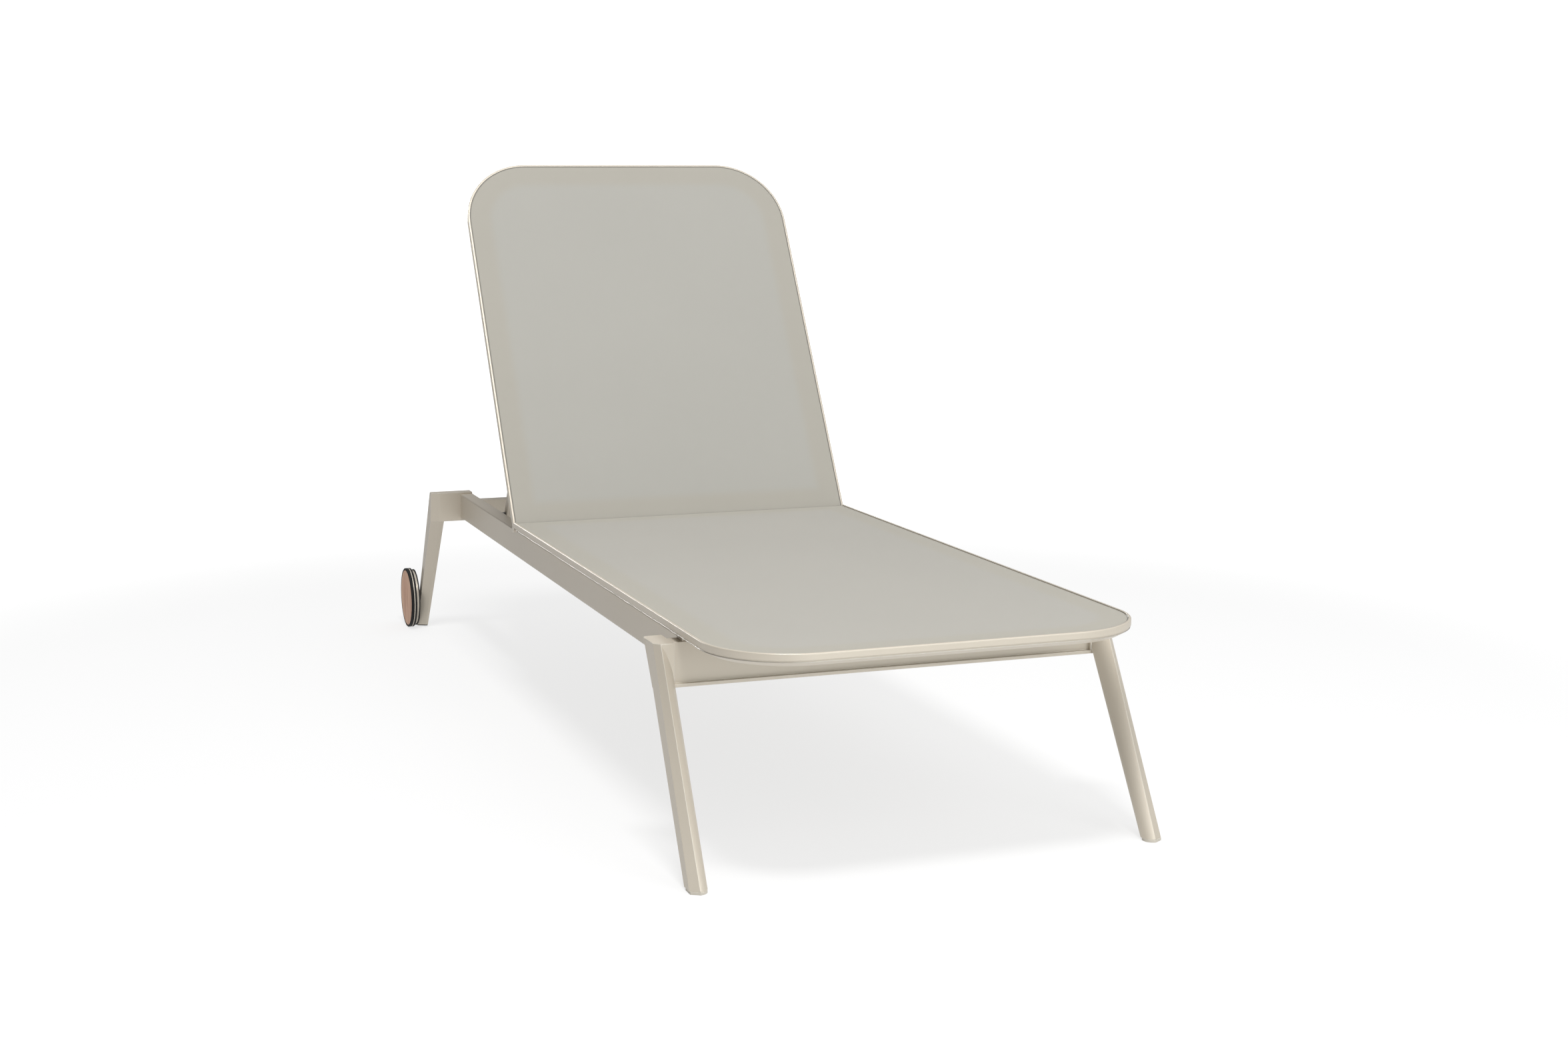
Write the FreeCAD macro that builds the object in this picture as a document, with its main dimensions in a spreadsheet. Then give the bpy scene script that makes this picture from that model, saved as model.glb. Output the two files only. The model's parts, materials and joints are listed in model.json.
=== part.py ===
import FreeCAD
import Part
import Sketcher
import math
import os
import re
from FreeCAD import Rotation, Vector

# Spa relaxation lounger: a low fabric bed on a slim metal frame, with a backrest
# that tilts on a hinge line, a swinging prop under it, and two wheels at the head.
# Lengths are millimetres, angles degrees. +X is the user's left-to-right width seen
# from the foot end, +Y runs to the head, +Z is up.

doc = FreeCAD.newDocument("spa_relaxation_lounger")
sheet = doc.addObject("Spreadsheet::Sheet", "Sizes")

SIZES = [
    # The two fabric panels
    ("panel_width", 670),
    ("panel_thick", 20),
    ("seat_length", 1265.6),
    ("back_length", 786.5),
    ("seat_height", 346),
    ("corner_radius", 132),
    ("recline_angle", 58.69),
    # The bent edge profile of both panels
    ("member_width", 45),
    ("rim_width", 4),
    ("rim_depth", 2.5),
    ("rim_round", 1.8),
    ("band_round", 0.8),
    ("band_height", 10.5),
    ("seam_height", 2.5),
    ("seam_depth", 2),
    ("lower_inset", 1),
    ("bevel_width", 13),
    ("spline_inset", 10),
    ("spline_slot", 4.2),
    ("spline_slot_depth", 4.5),
    ("spline_width", 3.6),
    # The fabric
    ("sling_thick", 2),
    ("sling_gap", 0.3),
    # The hinge line between seat and backrest
    ("nose_radius", 7.5),
    ("crease_gap", 2),
    ("end_rail_depth", 45),
    ("notch_clearance", 0.3),
    ("fit_clearance", 0.05),
    ("hinge_pin_width", 6),
    ("hinge_pin_length", 38),
    ("bush_wall", 1.5),
    ("bracket_thick", 6),
    ("bracket_head", 7),
    ("bracket_foot", 44),
    ("bracket_drop", 60),
    # The flat bars under the fabric
    ("stretcher_width", 30),
    ("stretcher_thick", 8),
    ("stretcher_drop", 3.5),
    ("seat_stretcher_first", 320),
    ("seat_stretcher_step", 310),
    ("back_stretcher_first", 235),
    ("back_stretcher_step", 285),
    # The two side rails
    ("rail_inset", 30),
    ("rail_width", 26),
    ("rail_height", 51),
    ("rail_wall", 2),
    ("rail_edge", 3),
    ("standoff_height", 12.5),
    ("standoff_width", 13),
    ("standoff_length", 40),
    ("standoff_end_gap", 90),
    ("standoff_step", 400),
    # The front cross beam
    ("node_front", 1043.6),
    ("node_width", 33),
    ("node_depth", 66),
    ("node_gap", 5),
    ("node_chamfer", 12),
    ("node_heel", 12),
    ("heel_round", 40),
    ("beam_recess", 8),
    ("beam_depth", 32),
    ("beam_height", 66),
    ("beam_wall", 3),
    ("beam_lip", 5),
    ("pad_height", 4),
    # The raked front legs
    ("foot_reach", 183),
    ("foot_depth", 32),
    ("foot_width", 29),
    ("foot_splay", 11),
    ("foot_crisp", 14),
    ("foot_crisp_step", 9),
    ("leg_top_depth", 50),
    ("leg_top_width", 30),
    ("leg_top_turn", 34),
    ("leg_top_front", 70),
    ("leg_top_rear", 24),
    ("leg_round", 16),
    ("glide_height", 4),
    ("glide_inset", 1),
    # The rear shoulders and legs
    ("shoulder_front", 614.4),
    ("shoulder_depth", 30),
    ("shoulder_height", 61),
    ("shoulder_overhang", 32),
    ("shoulder_bottom", 256),
    ("leg_top_thick", 25),
    ("leg_rear_knee", 55),
    ("leg_foot_thick", 21.8),
    ("leg_foot_gap", 0.9),
    ("leg_front_foot", 747.4),
    ("leg_depth_foot", 28.6),
    ("leg_facet", 18),
    ("leg_facet_step", 9),
    ("leg_edge", 8),
    ("leg_lift", 5),
    ("cap_height", 2),
    ("cap_inset", 0.8),
    ("spigot_length", 40),
    ("spigot_gap", 0.2),
    ("cross_tube_inset", 2),
    ("cross_tube_height", 40),
    ("cross_tube_wall", 2),
    # The wheels
    ("wheel_radius", 65),
    ("wheel_overhang", 64),
    ("wheel_width", 17.3),
    ("axle_back", 770.4),
    ("tyre_wall", 4),
    ("outer_tyre_width", 6),
    ("wheel_flange", 2.2),
    ("flange_inset", 0.5),
    ("inner_tyre_width", 4),
    ("inner_plate_inset", 5.5),
    ("disc_thick", 4),
    ("disc_gap", 0.3),
    ("disc_edge", 0.8),
    ("axle_width", 12),
    ("axle_reach", 18),
    ("wheel_bush_wall", 3),
    ("hub_pocket_radius", 16),
    ("hub_pocket_depth", 6),
    ("clip_thick", 1.6),
    ("clip_radius", 9.5),
    ("axle_nose", 1.5),
    ("washer_thick", 1.8),
    ("washer_inset", 3),
    ("running_gap", 0.3),
    ("boss_radius", 15),
    ("boss_depth", 22),
    ("leg_skin", 3),
    ("web_reach", 36),
    # The prop under the backrest
    ("prop_pivot_reach", 307),
    ("prop_pivot_drop", 12),
    ("prop_length", 335),
    ("prop_path_drop", 15),
    ("arm_thick", 8),
    ("arm_height", 18),
    ("arm_gap", 9),
    ("arm_eye", 10),
    ("pivot_pin_width", 8),
    ("pivot_head_radius", 7),
    ("pivot_head_thick", 3),
    ("pivot_pin_hold", 14),
    ("lug_length", 32),
    ("lug_rise", 10),
    ("lug_skin", 8),
    ("bar_width", 12),
    ("sleeve_radius", 8),
    ("sleeve_end_gap", 0.7),
    ("bar_recess", 0.5),
    # The notched racks on the rails
    ("rack_thick", 6),
    ("rack_bottom", 272),
    ("rack_gap", 1.2),
    ("rack_steep_angle", 75),
    ("rack_low_angle", 28),
    ("rack_lead", 14),
    ("notch_radius", 10),
    # Screws
    ("screw_width", 5),
    ("screw_gap", 0.1),
    ("screw_head_radius", 4.3),
    ("screw_head_height", 3),
    ("screw_length", 20),
    ("screw_bite", 8),
    ("screw_inset", 16),
    ("rail_screw_rise", 12),
    ("access_radius", 6),
    ("cut_over", 1),
]
for row, (alias, value) in enumerate(SIZES, start=1):
    sheet.set(f"A{row}", alias)
    sheet.set(f"B{row}", str(value))
    sheet.setAlias(f"B{row}", alias)
doc.recompute()

NODES = []


# Formulas and placing

def formula(text):
    """Turn a formula in plain names into an expression on the sheet."""
    return re.sub(r"\b([a-z]+(?:_[a-z]+)+)\b", r"<<Sizes>>.\1", text)


def size(text):
    """The present value of a formula."""
    value = sheet.evalExpression(formula(text))
    return float(getattr(value, "Value", value))


def bind(item, formulas):
    """Bind properties of an object to formulas on the sheet."""
    for path, text in formulas.items():
        item.setExpression(path, formula(text))
    return item


# Heights and reaches that several pieces share. All of them are measured from the
# hinge line: y = 0 lies on it, and z = 0 is the floor.
HINGE_Z = "(seat_height - panel_thick / 2)"
SEAT_REAR = "(-(nose_radius + sling_thick + crease_gap))"
SEAT_FRONT = f"({SEAT_REAR} - seat_length)"
WHEEL_REAR = "(axle_back + wheel_radius)"
HINGE_Y = f"(-({SEAT_FRONT} + {WHEEL_REAR}) / 2)"
PANEL_UNDER = "(seat_height - panel_thick)"
RAIL_TOP = f"({PANEL_UNDER} - standoff_height)"
HALF_PANEL = "(panel_width / 2)"
RAIL_OUTER = f"({HALF_PANEL} - rail_inset)"
RAIL_INNER = f"({RAIL_OUTER} - rail_width)"
NODE_INNER = f"({HALF_PANEL} + node_gap)"
CRISP_IN = "(node_width - node_chamfer)"
FOOT_FRONT = "(node_front + foot_reach)"
FOOT_INNER = f"({HALF_PANEL} + foot_splay)"
SHOULDER_OUTER = f"({HALF_PANEL} + shoulder_overhang)"
LEG_INNER_TOP = f"({SHOULDER_OUTER} - leg_top_thick)"
ARM_OUTER = f"({RAIL_INNER} - arm_gap)"
SLEEVE_REACH = f"({RAIL_INNER} - sleeve_end_gap)"
BAR_REACH = f"({SLEEVE_REACH} - bar_recess)"
WHEEL_OUTER = f"({HALF_PANEL} + wheel_overhang)"
WHEEL_INNER = f"({WHEEL_OUTER} - wheel_width)"
WASHER_FACE = f"({WHEEL_INNER} - running_gap)"
AXLE_FACE = f"({WASHER_FACE} - washer_thick)"
LEG_OUTER_FOOT = f"({AXLE_FACE} - leg_foot_gap)"
LEG_INNER_FOOT = f"({LEG_OUTER_FOOT} - leg_foot_thick)"
BEAM_TOP = f"({PANEL_UNDER} - pad_height)"
BEAM_BOTTOM = f"({BEAM_TOP} - beam_height)"
BEAM_FACE = "(-(node_front - beam_recess))"
BEAM_REAR = f"({BEAM_FACE} + beam_depth)"
SHOULDER_TOP = "(shoulder_bottom + shoulder_height)"
RECESS = "(panel_thick / 2 - rim_depth)"
MEMBER_INNER = "(panel_width / 2 - member_width)"
# A screw line that passes through both the rail and the panel's edge profile.
SCREW_LINE = f"(({MEMBER_INNER} + {RAIL_OUTER}) / 2)"


def on_base(item, label):
    """A piece drawn from the hinge line and the floor, on the fixed base."""
    bind(item, {"Placement.Base.y": HINGE_Y})
    return node(item, label)


def on_back(item, label):
    """A piece drawn along the backrest: y along the panel, z square to it."""
    item.Placement = FreeCAD.Placement(Vector(0, 0, 0), Rotation(Vector(1, 0, 0), 1))
    bind(item, {"Placement.Base.y": HINGE_Y, "Placement.Base.z": HINGE_Z,
                "Placement.Rotation.Angle": "recline_angle * 1deg"})
    return node(item, label)


def on_prop(item, label):
    """A piece drawn along the prop: the pivot at zero, y along the arm."""
    item.Placement = FreeCAD.Placement(Vector(0, 0, 0), Rotation(Vector(-1, 0, 0), 1))
    reach, rise = pivot_at("recline_angle")
    bind(item, {"Placement.Base.y": f"{HINGE_Y} + {reach}",
                "Placement.Base.z": f"{HINGE_Z} + {rise}",
                "Placement.Rotation.Angle": f"(recline_angle + {PROP_TURN}) * 1deg"})
    return node(item, label)


def on_axle(item, label):
    """A wheel piece drawn about its axle."""
    bind(item, {"Placement.Base.y": f"{HINGE_Y} + axle_back",
                "Placement.Base.z": "wheel_radius"})
    return node(item, label)


def node(item, label):
    item.Label = label
    NODES.append(item)
    return item


# The prop is a crank of two nearly equal lengths: the pivot on the backrest swings
# about the hinge, and the arm turns back twice as fast, so that its bar runs along
# the racks.
PIVOT_TURN = "(asin(prop_pivot_drop / prop_pivot_reach) / 1deg)"
PROP_TURN = f"(prop_path_drop / prop_pivot_reach * 180 / pi - {PIVOT_TURN})"


def pivot_at(angle):
    """Reach and rise of the prop's pivot from the hinge at a backrest angle."""
    turn = f"({angle} - {PIVOT_TURN})"
    return f"prop_pivot_reach * cos({turn})", f"prop_pivot_reach * sin({turn})"


def bar_at(angle):
    """Reach and rise of the prop's cross bar from the hinge at a backrest angle."""
    reach, rise = pivot_at(angle)
    turn = f"({angle} + {PROP_TURN})"
    return (f"({reach} + prop_length * cos({turn}))",
            f"({rise} - prop_length * sin({turn}))")


# Drawing tools

def box(name, low, high):
    """A box between two corners given as formulas."""
    item = doc.addObject("Part::Box", name)
    for axis, side, a, b in zip("xyz", ("Length", "Width", "Height"), low, high):
        bind(item, {f"Placement.Base.{axis}": a, side: f"({b}) - ({a})"})
    return item


def rod(name, side, start, reach, radius, y="0", z="0"):
    """A round bar along X from |x| = start to |x| = reach, on one side."""
    item = doc.addObject("Part::Cylinder", name)
    item.Placement = FreeCAD.Placement(Vector(0, 0, 0), Rotation(Vector(0, 1, 0), 90))
    bind(item, {"Radius": radius, "Height": f"({reach}) - ({start})",
                "Placement.Base.x": start if side > 0 else f"-({reach})",
                "Placement.Base.y": y, "Placement.Base.z": z})
    return item


def post(name, x, y, low, high, radius):
    """A round upright bar."""
    item = doc.addObject("Part::Cylinder", name)
    bind(item, {"Radius": radius, "Height": f"({high}) - ({low})",
                "Placement.Base.x": x, "Placement.Base.y": y, "Placement.Base.z": low})
    return item


def group(name, items):
    """Separate solids that share a node."""
    item = doc.addObject("Part::Compound", name)
    item.Links = items
    return item


def fuse(name, items):
    item = doc.addObject("Part::MultiFuse", name)
    item.Shapes = items
    return item


def cut(name, base, tool):
    item = doc.addObject("Part::Cut", name)
    item.Base = base
    item.Tool = tool
    return item


def mirrored(side, text):
    """A formula for |x| on the right side, or its opposite on the left."""
    return text if side > 0 else f"-({text})"


def span(side, low, high):
    """Lower and upper x of a piece that lies between two values of |x|."""
    return (low, high) if side > 0 else (f"-({high})", f"-({low})")


def sketch_on(body, role, name, offset="0"):
    """A sketch on one of the body's origin planes, moved along its normal."""
    plane = next(item for item in body.Origin.OriginFeatures if item.Role == role)
    sketch = body.newObject("Sketcher::SketchObject", name)
    sketch.AttachmentSupport = [(plane, "")]
    sketch.MapMode = "FlatFace"
    bind(sketch, {"AttachmentOffset.Base.z": offset})
    return sketch


def arc_between(start, end, radius, turn):
    """The short arc from start to end; turn is 1 for left, -1 for right."""
    chord = end - start
    middle = (start + end) / 2
    height = math.sqrt(max(radius ** 2 - (chord.Length / 2) ** 2, 0))
    normal = Vector(-chord.y, chord.x, 0).normalize()
    centre = middle + normal * height * turn
    first, last = (start, end) if turn > 0 else (end, start)
    angles = [math.atan2(p.y - centre.y, p.x - centre.x) for p in (first, last)]
    return Part.ArcOfCircle(Part.Circle(centre, Vector(0, 0, 1), radius), *angles)


def draw(sketch, corners, closed=True):
    """Draw and bind an outline.

    A corner is (x, y), or (x, y, radius, turn) where the edge that leaves it is an
    arc. Every corner and radius is a formula.
    """
    spots = [Vector(size(corner[0]), size(corner[1]), 0) for corner in corners]
    count = len(corners) if closed else len(corners) - 1
    ends = []
    for index in range(count):
        start, end = spots[index], spots[(index + 1) % len(spots)]
        corner = corners[index]
        if len(corner) == 2:
            edge = sketch.addGeometry(Part.LineSegment(start, end))
            ends.append((edge, 1, 2))
        else:
            turn = corner[3]
            edge = sketch.addGeometry(arc_between(start, end, size(corner[2]), turn))
            ends.append((edge, 1, 2) if turn > 0 else (edge, 2, 1))
            hold(sketch, Sketcher.Constraint("Radius", edge, size(corner[2])), corner[2])
    for index, (edge, start, end) in enumerate(ends):
        pin(sketch, edge, start, corners[index], spots[index])
        if closed or index + 1 < len(ends):
            following = ends[(index + 1) % len(ends)]
            sketch.addConstraint(Sketcher.Constraint("Coincident", edge, end, *following[:2]))
    if not closed:
        edge, _, end = ends[-1]
        pin(sketch, edge, end, corners[-1], spots[-1])
    return sketch


def pin(sketch, edge, point, corner, spot):
    """Hold a point at its formulas, measured from the sketch's origin."""
    hold(sketch, Sketcher.Constraint("DistanceX", -1, 1, edge, point, spot.x), corner[0])
    hold(sketch, Sketcher.Constraint("DistanceY", -1, 1, edge, point, spot.y), corner[1])


def hold(sketch, constraint, text):
    index = sketch.addConstraint(constraint)
    sketch.setExpression(f"Constraints[{index}]", formula(text))


def new_body(name):
    return doc.addObject("PartDesign::Body", name)


def prism(name, role, offset, depth, *outlines):
    """A body padded from one closed outline, with any further ones as holes."""
    body = new_body(name)
    sketch = sketch_on(body, role, name + "_sketch", offset)
    for outline in outlines:
        draw(sketch, outline)
    pad = body.newObject("PartDesign::Pad", name + "_pad")
    pad.Profile = sketch
    bind(pad, {"Length": depth})
    return body


def turned(name, outlines):
    """A body turned about X from outlines given as (x, radius)."""
    body = new_body(name)
    sketch = sketch_on(body, "XY_Plane", name + "_sketch")
    for outline in outlines:
        draw(sketch, outline)
    doc.recompute()
    turn = body.newObject("PartDesign::Revolution", name + "_turn")
    turn.Profile = sketch
    turn.ReferenceAxis = (sketch, ["H_Axis"])
    turn.Angle = 360
    return body


def lofted(name, sections):
    """A ruled body through outlines at heights."""
    body = new_body(name)
    sketches = []
    for index, (height, outline) in enumerate(sections):
        sketch = sketch_on(body, "XY_Plane", f"{name}_section_{index}", height)
        sketches.append(draw(sketch, outline))
    doc.recompute()
    loft = body.newObject("PartDesign::AdditiveLoft", name + "_loft")
    loft.Profile = sketches[0]
    loft.Sections = sketches[1:]
    loft.Ruled = True
    return body


def rectangle(x_low, y_low, x_high, y_high):
    return [(x_low, y_low), (x_high, y_low), (x_high, y_high), (x_low, y_high)]


def round_edges(body, name, radius, wanted):
    """Fillet the edges of a body that a test picks."""
    doc.recompute()
    base = body.Tip
    names = [f"Edge{i}" for i, edge in enumerate(base.Shape.Edges, start=1) if wanted(edge)]
    fillet = body.newObject("PartDesign::Fillet", name)
    fillet.Base = (base, names)
    bind(fillet, {"Radius": radius})
    return body


# Screws

def screw(name, axis_at, direction):
    """A screw whose head seats at a point; the shank runs along the direction."""
    shank = doc.addObject("Part::Cylinder", name + "_shank")
    head = doc.addObject("Part::Cylinder", name + "_head")
    turn = Rotation(Vector(0, 0, 1), direction)
    for item in (shank, head):
        item.Placement = FreeCAD.Placement(Vector(0, 0, 0), turn)
    bind(shank, {"Radius": "screw_width / 2", "Height": "screw_length"})
    bind(head, {"Radius": "screw_head_radius", "Height": "screw_head_height"})
    back = {"x": direction.x, "y": direction.y, "z": direction.z}
    for axis, text in zip("xyz", axis_at):
        bind(shank, {f"Placement.Base.{axis}": text})
        bind(head, {f"Placement.Base.{axis}": f"{text} - ({back[axis]:g}) * screw_head_height"})
    return fuse(name, [shank, head])


def bore(name, axis_at, direction, radius, low, high):
    """A hole's tool about the same line, from low to high along the direction."""
    item = doc.addObject("Part::Cylinder", name)
    item.Placement = FreeCAD.Placement(Vector(0, 0, 0), Rotation(Vector(0, 0, 1), direction))
    bind(item, {"Radius": radius, "Height": f"({high}) - ({low})"})
    along = {"x": direction.x, "y": direction.y, "z": direction.z}
    for axis, text in zip("xyz", axis_at):
        bind(item, {f"Placement.Base.{axis}": f"{text} + ({along[axis]:g}) * ({low})"})
    return item


def screw_hole(name, axis_at, direction):
    """The clearance hole of a screw, through what it clamps and a little past its end."""
    return bore(name, axis_at, direction, "screw_width / 2 + screw_gap",
                "-cut_over", "screw_length + cut_over")


SIDES = (("left", -1), ("right", 1))
UP = Vector(0, 0, 1)


# Panels: bent edge profile, end rail, flat bars and fabric

def edge_profile():
    """Section of the bent profile: across from its outer edge, up from mid-thickness."""

    def across(text):
        return f"-(panel_width / 2 - ({text}))"

    top = "(panel_thick / 2)"
    band = f"({top} - band_height)"
    seam = f"({band} - seam_height)"
    slot_low = f"({RECESS} - spline_slot_depth)"
    near, far = "spline_inset - spline_slot / 2", "spline_inset + spline_slot / 2"
    return [
        (across("0"), f"{band} + band_round"),
        (across("0"), f"{top} - rim_round", "rim_round", -1),
        (across("rim_round"), top),
        (across("rim_width"), top),
        (across("rim_width"), RECESS),
        (across(near), RECESS),
        (across(near), slot_low),
        (across(far), slot_low),
        (across(far), RECESS),
        (across("member_width"), RECESS),
        (across("member_width"), f"-{top}"),
        (across("bevel_width"), f"-{top}"),
        (across("lower_inset"), seam),
        (across("seam_depth"), seam),
        (across("seam_depth"), band),
        (across("band_round"), band, "band_round", -1),
    ]


def bent_path(open_end, far_end, toward, inset="0"):
    """The U along the outer edge: out one side, round two corners, back the other."""
    half = f"(panel_width / 2 - ({inset}))"
    radius = f"(corner_radius - ({inset}))"
    far = f"({far_end} - ({toward}) * ({inset}))"
    turn_at = f"({far} - ({toward}) * {radius})"
    turn = 1 if toward < 0 else -1
    return [
        (f"-{half}", open_end),
        (f"-{half}", turn_at, radius, turn),
        (f"-({half} - {radius})", far),
        (f"{half} - {radius}", far, radius, turn),
        (half, turn_at),
        (half, open_end),
    ]


def bent_body(name, open_end, far_end, toward, lift):
    """The edge profile swept round the U, as one bent length."""
    body = new_body(name)
    path = sketch_on(body, "XY_Plane", name + "_path", lift)
    draw(path, bent_path(open_end, far_end, toward), closed=False)
    section = sketch_on(body, "XZ_Plane", name + "_section", f"-({open_end})")
    outline = [(x, f"{z} + {lift}", *arc) for x, z, *arc in edge_profile()]
    draw(section, outline)
    doc.recompute()
    pipe = body.newObject("PartDesign::AdditivePipe", name + "_pipe")
    pipe.Profile = section
    pipe.Spine = (path, [f"Edge{i}" for i in range(1, 6)])
    return body


def spline_body(name, open_end, far_end, toward, lift):
    """The round cord that locks the fabric in the profile's slot."""
    body = new_body(name)
    height = f"{lift} + {RECESS} - spline_slot_depth / 2"
    path = sketch_on(body, "XY_Plane", name + "_path", height)
    draw(path, bent_path(open_end, far_end, toward, "spline_inset"), closed=False)
    section = sketch_on(body, "XZ_Plane", name + "_section", f"-({open_end})")
    centre_x = "-(panel_width / 2 - spline_inset)"
    circle = section.addGeometry(
        Part.Circle(Vector(size(centre_x), size(height), 0), UP, size("spline_width / 2")))
    pin(section, circle, 3, (centre_x, height), Vector(size(centre_x), size(height), 0))
    hold(section, Sketcher.Constraint("Radius", circle, size("spline_width / 2")),
         "spline_width / 2")
    doc.recompute()
    pipe = body.newObject("PartDesign::AdditivePipe", name + "_pipe")
    pipe.Profile = section
    pipe.Spine = (path, [f"Edge{i}" for i in range(1, 6)])
    return body


def fabric_body(name, open_end, far_end, toward, lift):
    """The stretched fabric inside the rim, as one thin sheet."""
    outline = bent_path(open_end, far_end, toward, "rim_width + sling_gap")
    return prism(name, "XY_Plane", f"{lift} + {RECESS}", "sling_thick", outline)


def flat_bars(name, places, lift):
    """Flat bars across the panel, welded between the edge profiles."""
    top = f"{lift} + stretcher_thick - stretcher_drop"
    low = f"{lift} - stretcher_drop"
    bars = []
    for index, place in enumerate(places):
        bars.append(box(f"{name}_{index}",
                        (f"-{MEMBER_INNER}", f"{place} - stretcher_width / 2", low),
                        (MEMBER_INNER, f"{place} + stretcher_width / 2", top)))
    return group(name, bars)


# Seat screw places: three stand-offs on each rail and one pad on the beam.
STANDOFFS = [f"({SEAT_REAR} - standoff_end_gap - standoff_step * {i})" for i in range(3)]
BEAM_PAD_Y = f"(({BEAM_FACE} + {BEAM_REAR}) / 2)"
BEAM_PAD_X = f"({MEMBER_INNER} + member_width / 2)"


def seat_screw_places():
    """Every screw that comes up into the seat's edge profile, with its seat height."""
    places = []
    for _, side in SIDES:
        for y in STANDOFFS:
            places.append((mirrored(side, SCREW_LINE), y, f"({RAIL_TOP} - rail_wall)"))
        places.append((mirrored(side, BEAM_PAD_X), BEAM_PAD_Y, f"({BEAM_TOP} - beam_wall)"))
    return places


def make_seat():
    """The fixed seat panel and what it stands on."""
    places = seat_screw_places()
    holes = group("seat_holes", [screw_hole(f"seat_hole_{i}", at, UP)
                                 for i, at in enumerate(places)])
    bent = bent_body("seat_bend", SEAT_REAR, SEAT_FRONT, -1, HINGE_Z)
    on_base(cut("seat_edge", bent, holes), "seat_frame")
    rear = box("seat_rear_bar",
               (f"-{MEMBER_INNER}", f"{SEAT_REAR} - end_rail_depth", PANEL_UNDER),
               (MEMBER_INNER, SEAT_REAR, f"{HINGE_Z} + {RECESS}"))
    on_base(group("seat_rear_bars", [rear]), "seat_rear_rail")
    bars = [f"({SEAT_REAR} - seat_stretcher_first - seat_stretcher_step * {i})" for i in range(3)]
    on_base(flat_bars("seat_bars", bars, HINGE_Z), "seat_stretchers")
    on_base(fabric_body("seat_fabric", SEAT_REAR, SEAT_FRONT, -1, HINGE_Z), "seat_sling")
    on_base(spline_body("seat_cord", SEAT_REAR, SEAT_FRONT, -1, HINGE_Z), "seat_spline")
    blocks = []
    for name, side in SIDES:
        for i, y in enumerate(STANDOFFS):
            low, high = span(side, f"{SCREW_LINE} - standoff_width / 2",
                             f"{SCREW_LINE} + standoff_width / 2")
            blocks.append(box(f"standoff_{name}_{i}",
                              (low, f"{y} - standoff_length / 2", RAIL_TOP),
                              (high, f"{y} + standoff_length / 2", PANEL_UNDER)))
        low, high = span(side, f"{BEAM_PAD_X} - standoff_width", f"{BEAM_PAD_X} + standoff_width")
        blocks.append(box(f"beam_pad_{name}",
                          (low, f"{BEAM_PAD_Y} - standoff_width", BEAM_TOP),
                          (high, f"{BEAM_PAD_Y} + standoff_width", PANEL_UNDER)))
    pieces = cut("standoff_set", group("standoff_blocks", blocks), holes)
    on_base(pieces, "seat_standoffs")
    screws = [screw(f"seat_screw_{i}", at, UP) for i, at in enumerate(places)]
    on_base(group("seat_screw_set", screws), "seat_screws")
    return holes


def make_backrest():
    """The tilting panel, drawn flat with the hinge line at zero."""
    bent = bent_body("back_bend", "0", "back_length", 1, "0")
    on_back(bent, "back_frame")
    top, under = RECESS, "-(panel_thick / 2)"
    slope = "(nose_radius + rim_depth)"
    rail = prism("back_rail_bar", "YZ_Plane", f"-{MEMBER_INNER}", f"2 * {MEMBER_INNER}", [
        ("0", "nose_radius", "nose_radius", 1),
        ("-nose_radius", "0", "nose_radius", 1),
        ("0", "-nose_radius"),
        (slope, under),
        ("end_rail_depth", under),
        ("end_rail_depth", top),
    ])
    tools = []
    for name, side in SIDES:
        low, high = span(side, f"{RAIL_INNER} - bracket_thick - notch_clearance",
                         f"{RAIL_INNER} + notch_clearance")
        tools.append(box(f"hinge_notch_{name}",
                         (low, "-(nose_radius + cut_over)", "-(panel_thick)"),
                         (high, "bracket_head + notch_clearance", "panel_thick")))
        tools.append(rod(f"hinge_bore_{name}", side, f"{MEMBER_INNER} - hinge_pin_length",
                         f"{MEMBER_INNER} + cut_over", "hinge_pin_width / 2 + fit_clearance"))
    on_back(cut("back_rail", rail, group("hinge_tools", tools)), "back_bottom_rail")
    bars = [f"(back_stretcher_first + back_stretcher_step * {i})" for i in range(2)]
    on_back(flat_bars("back_bars", bars, "0"), "back_stretchers")
    on_back(fabric_body("back_fabric", "0", "back_length", 1, "0"), "back_sling")
    on_back(spline_body("back_cord", "0", "back_length", 1, "0"), "back_spline")
    caps, pins = [], []
    for name, side in SIDES:
        low, high = span(side, MEMBER_INNER, "panel_width / 2")
        half = box(f"cap_half_{name}", (low, "-panel_thick", "-panel_thick"),
                   (high, "0", "panel_thick"))
        barrel = rod(f"cap_barrel_{name}", side, MEMBER_INNER, "panel_width / 2",
                     "panel_thick / 2")
        cap = doc.addObject("Part::Common", f"end_cap_{name}")
        cap.Base = barrel
        cap.Tool = half
        caps.append(cap)
        pins.append(rod(f"hinge_pin_{name}", side, f"{MEMBER_INNER} - hinge_pin_length",
                        MEMBER_INNER, "hinge_pin_width / 2"))
    on_back(group("end_cap_pair", caps), "back_end_caps")
    on_back(group("hinge_pin_pair", pins), "hinge_pins")


LUG_INNER = f"({ARM_OUTER} + running_gap)"
PIVOT_V = "(-prop_pivot_drop)"
PIVOT_U = "(prop_pivot_reach * cos(asin(prop_pivot_drop / prop_pivot_reach)))"


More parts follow.
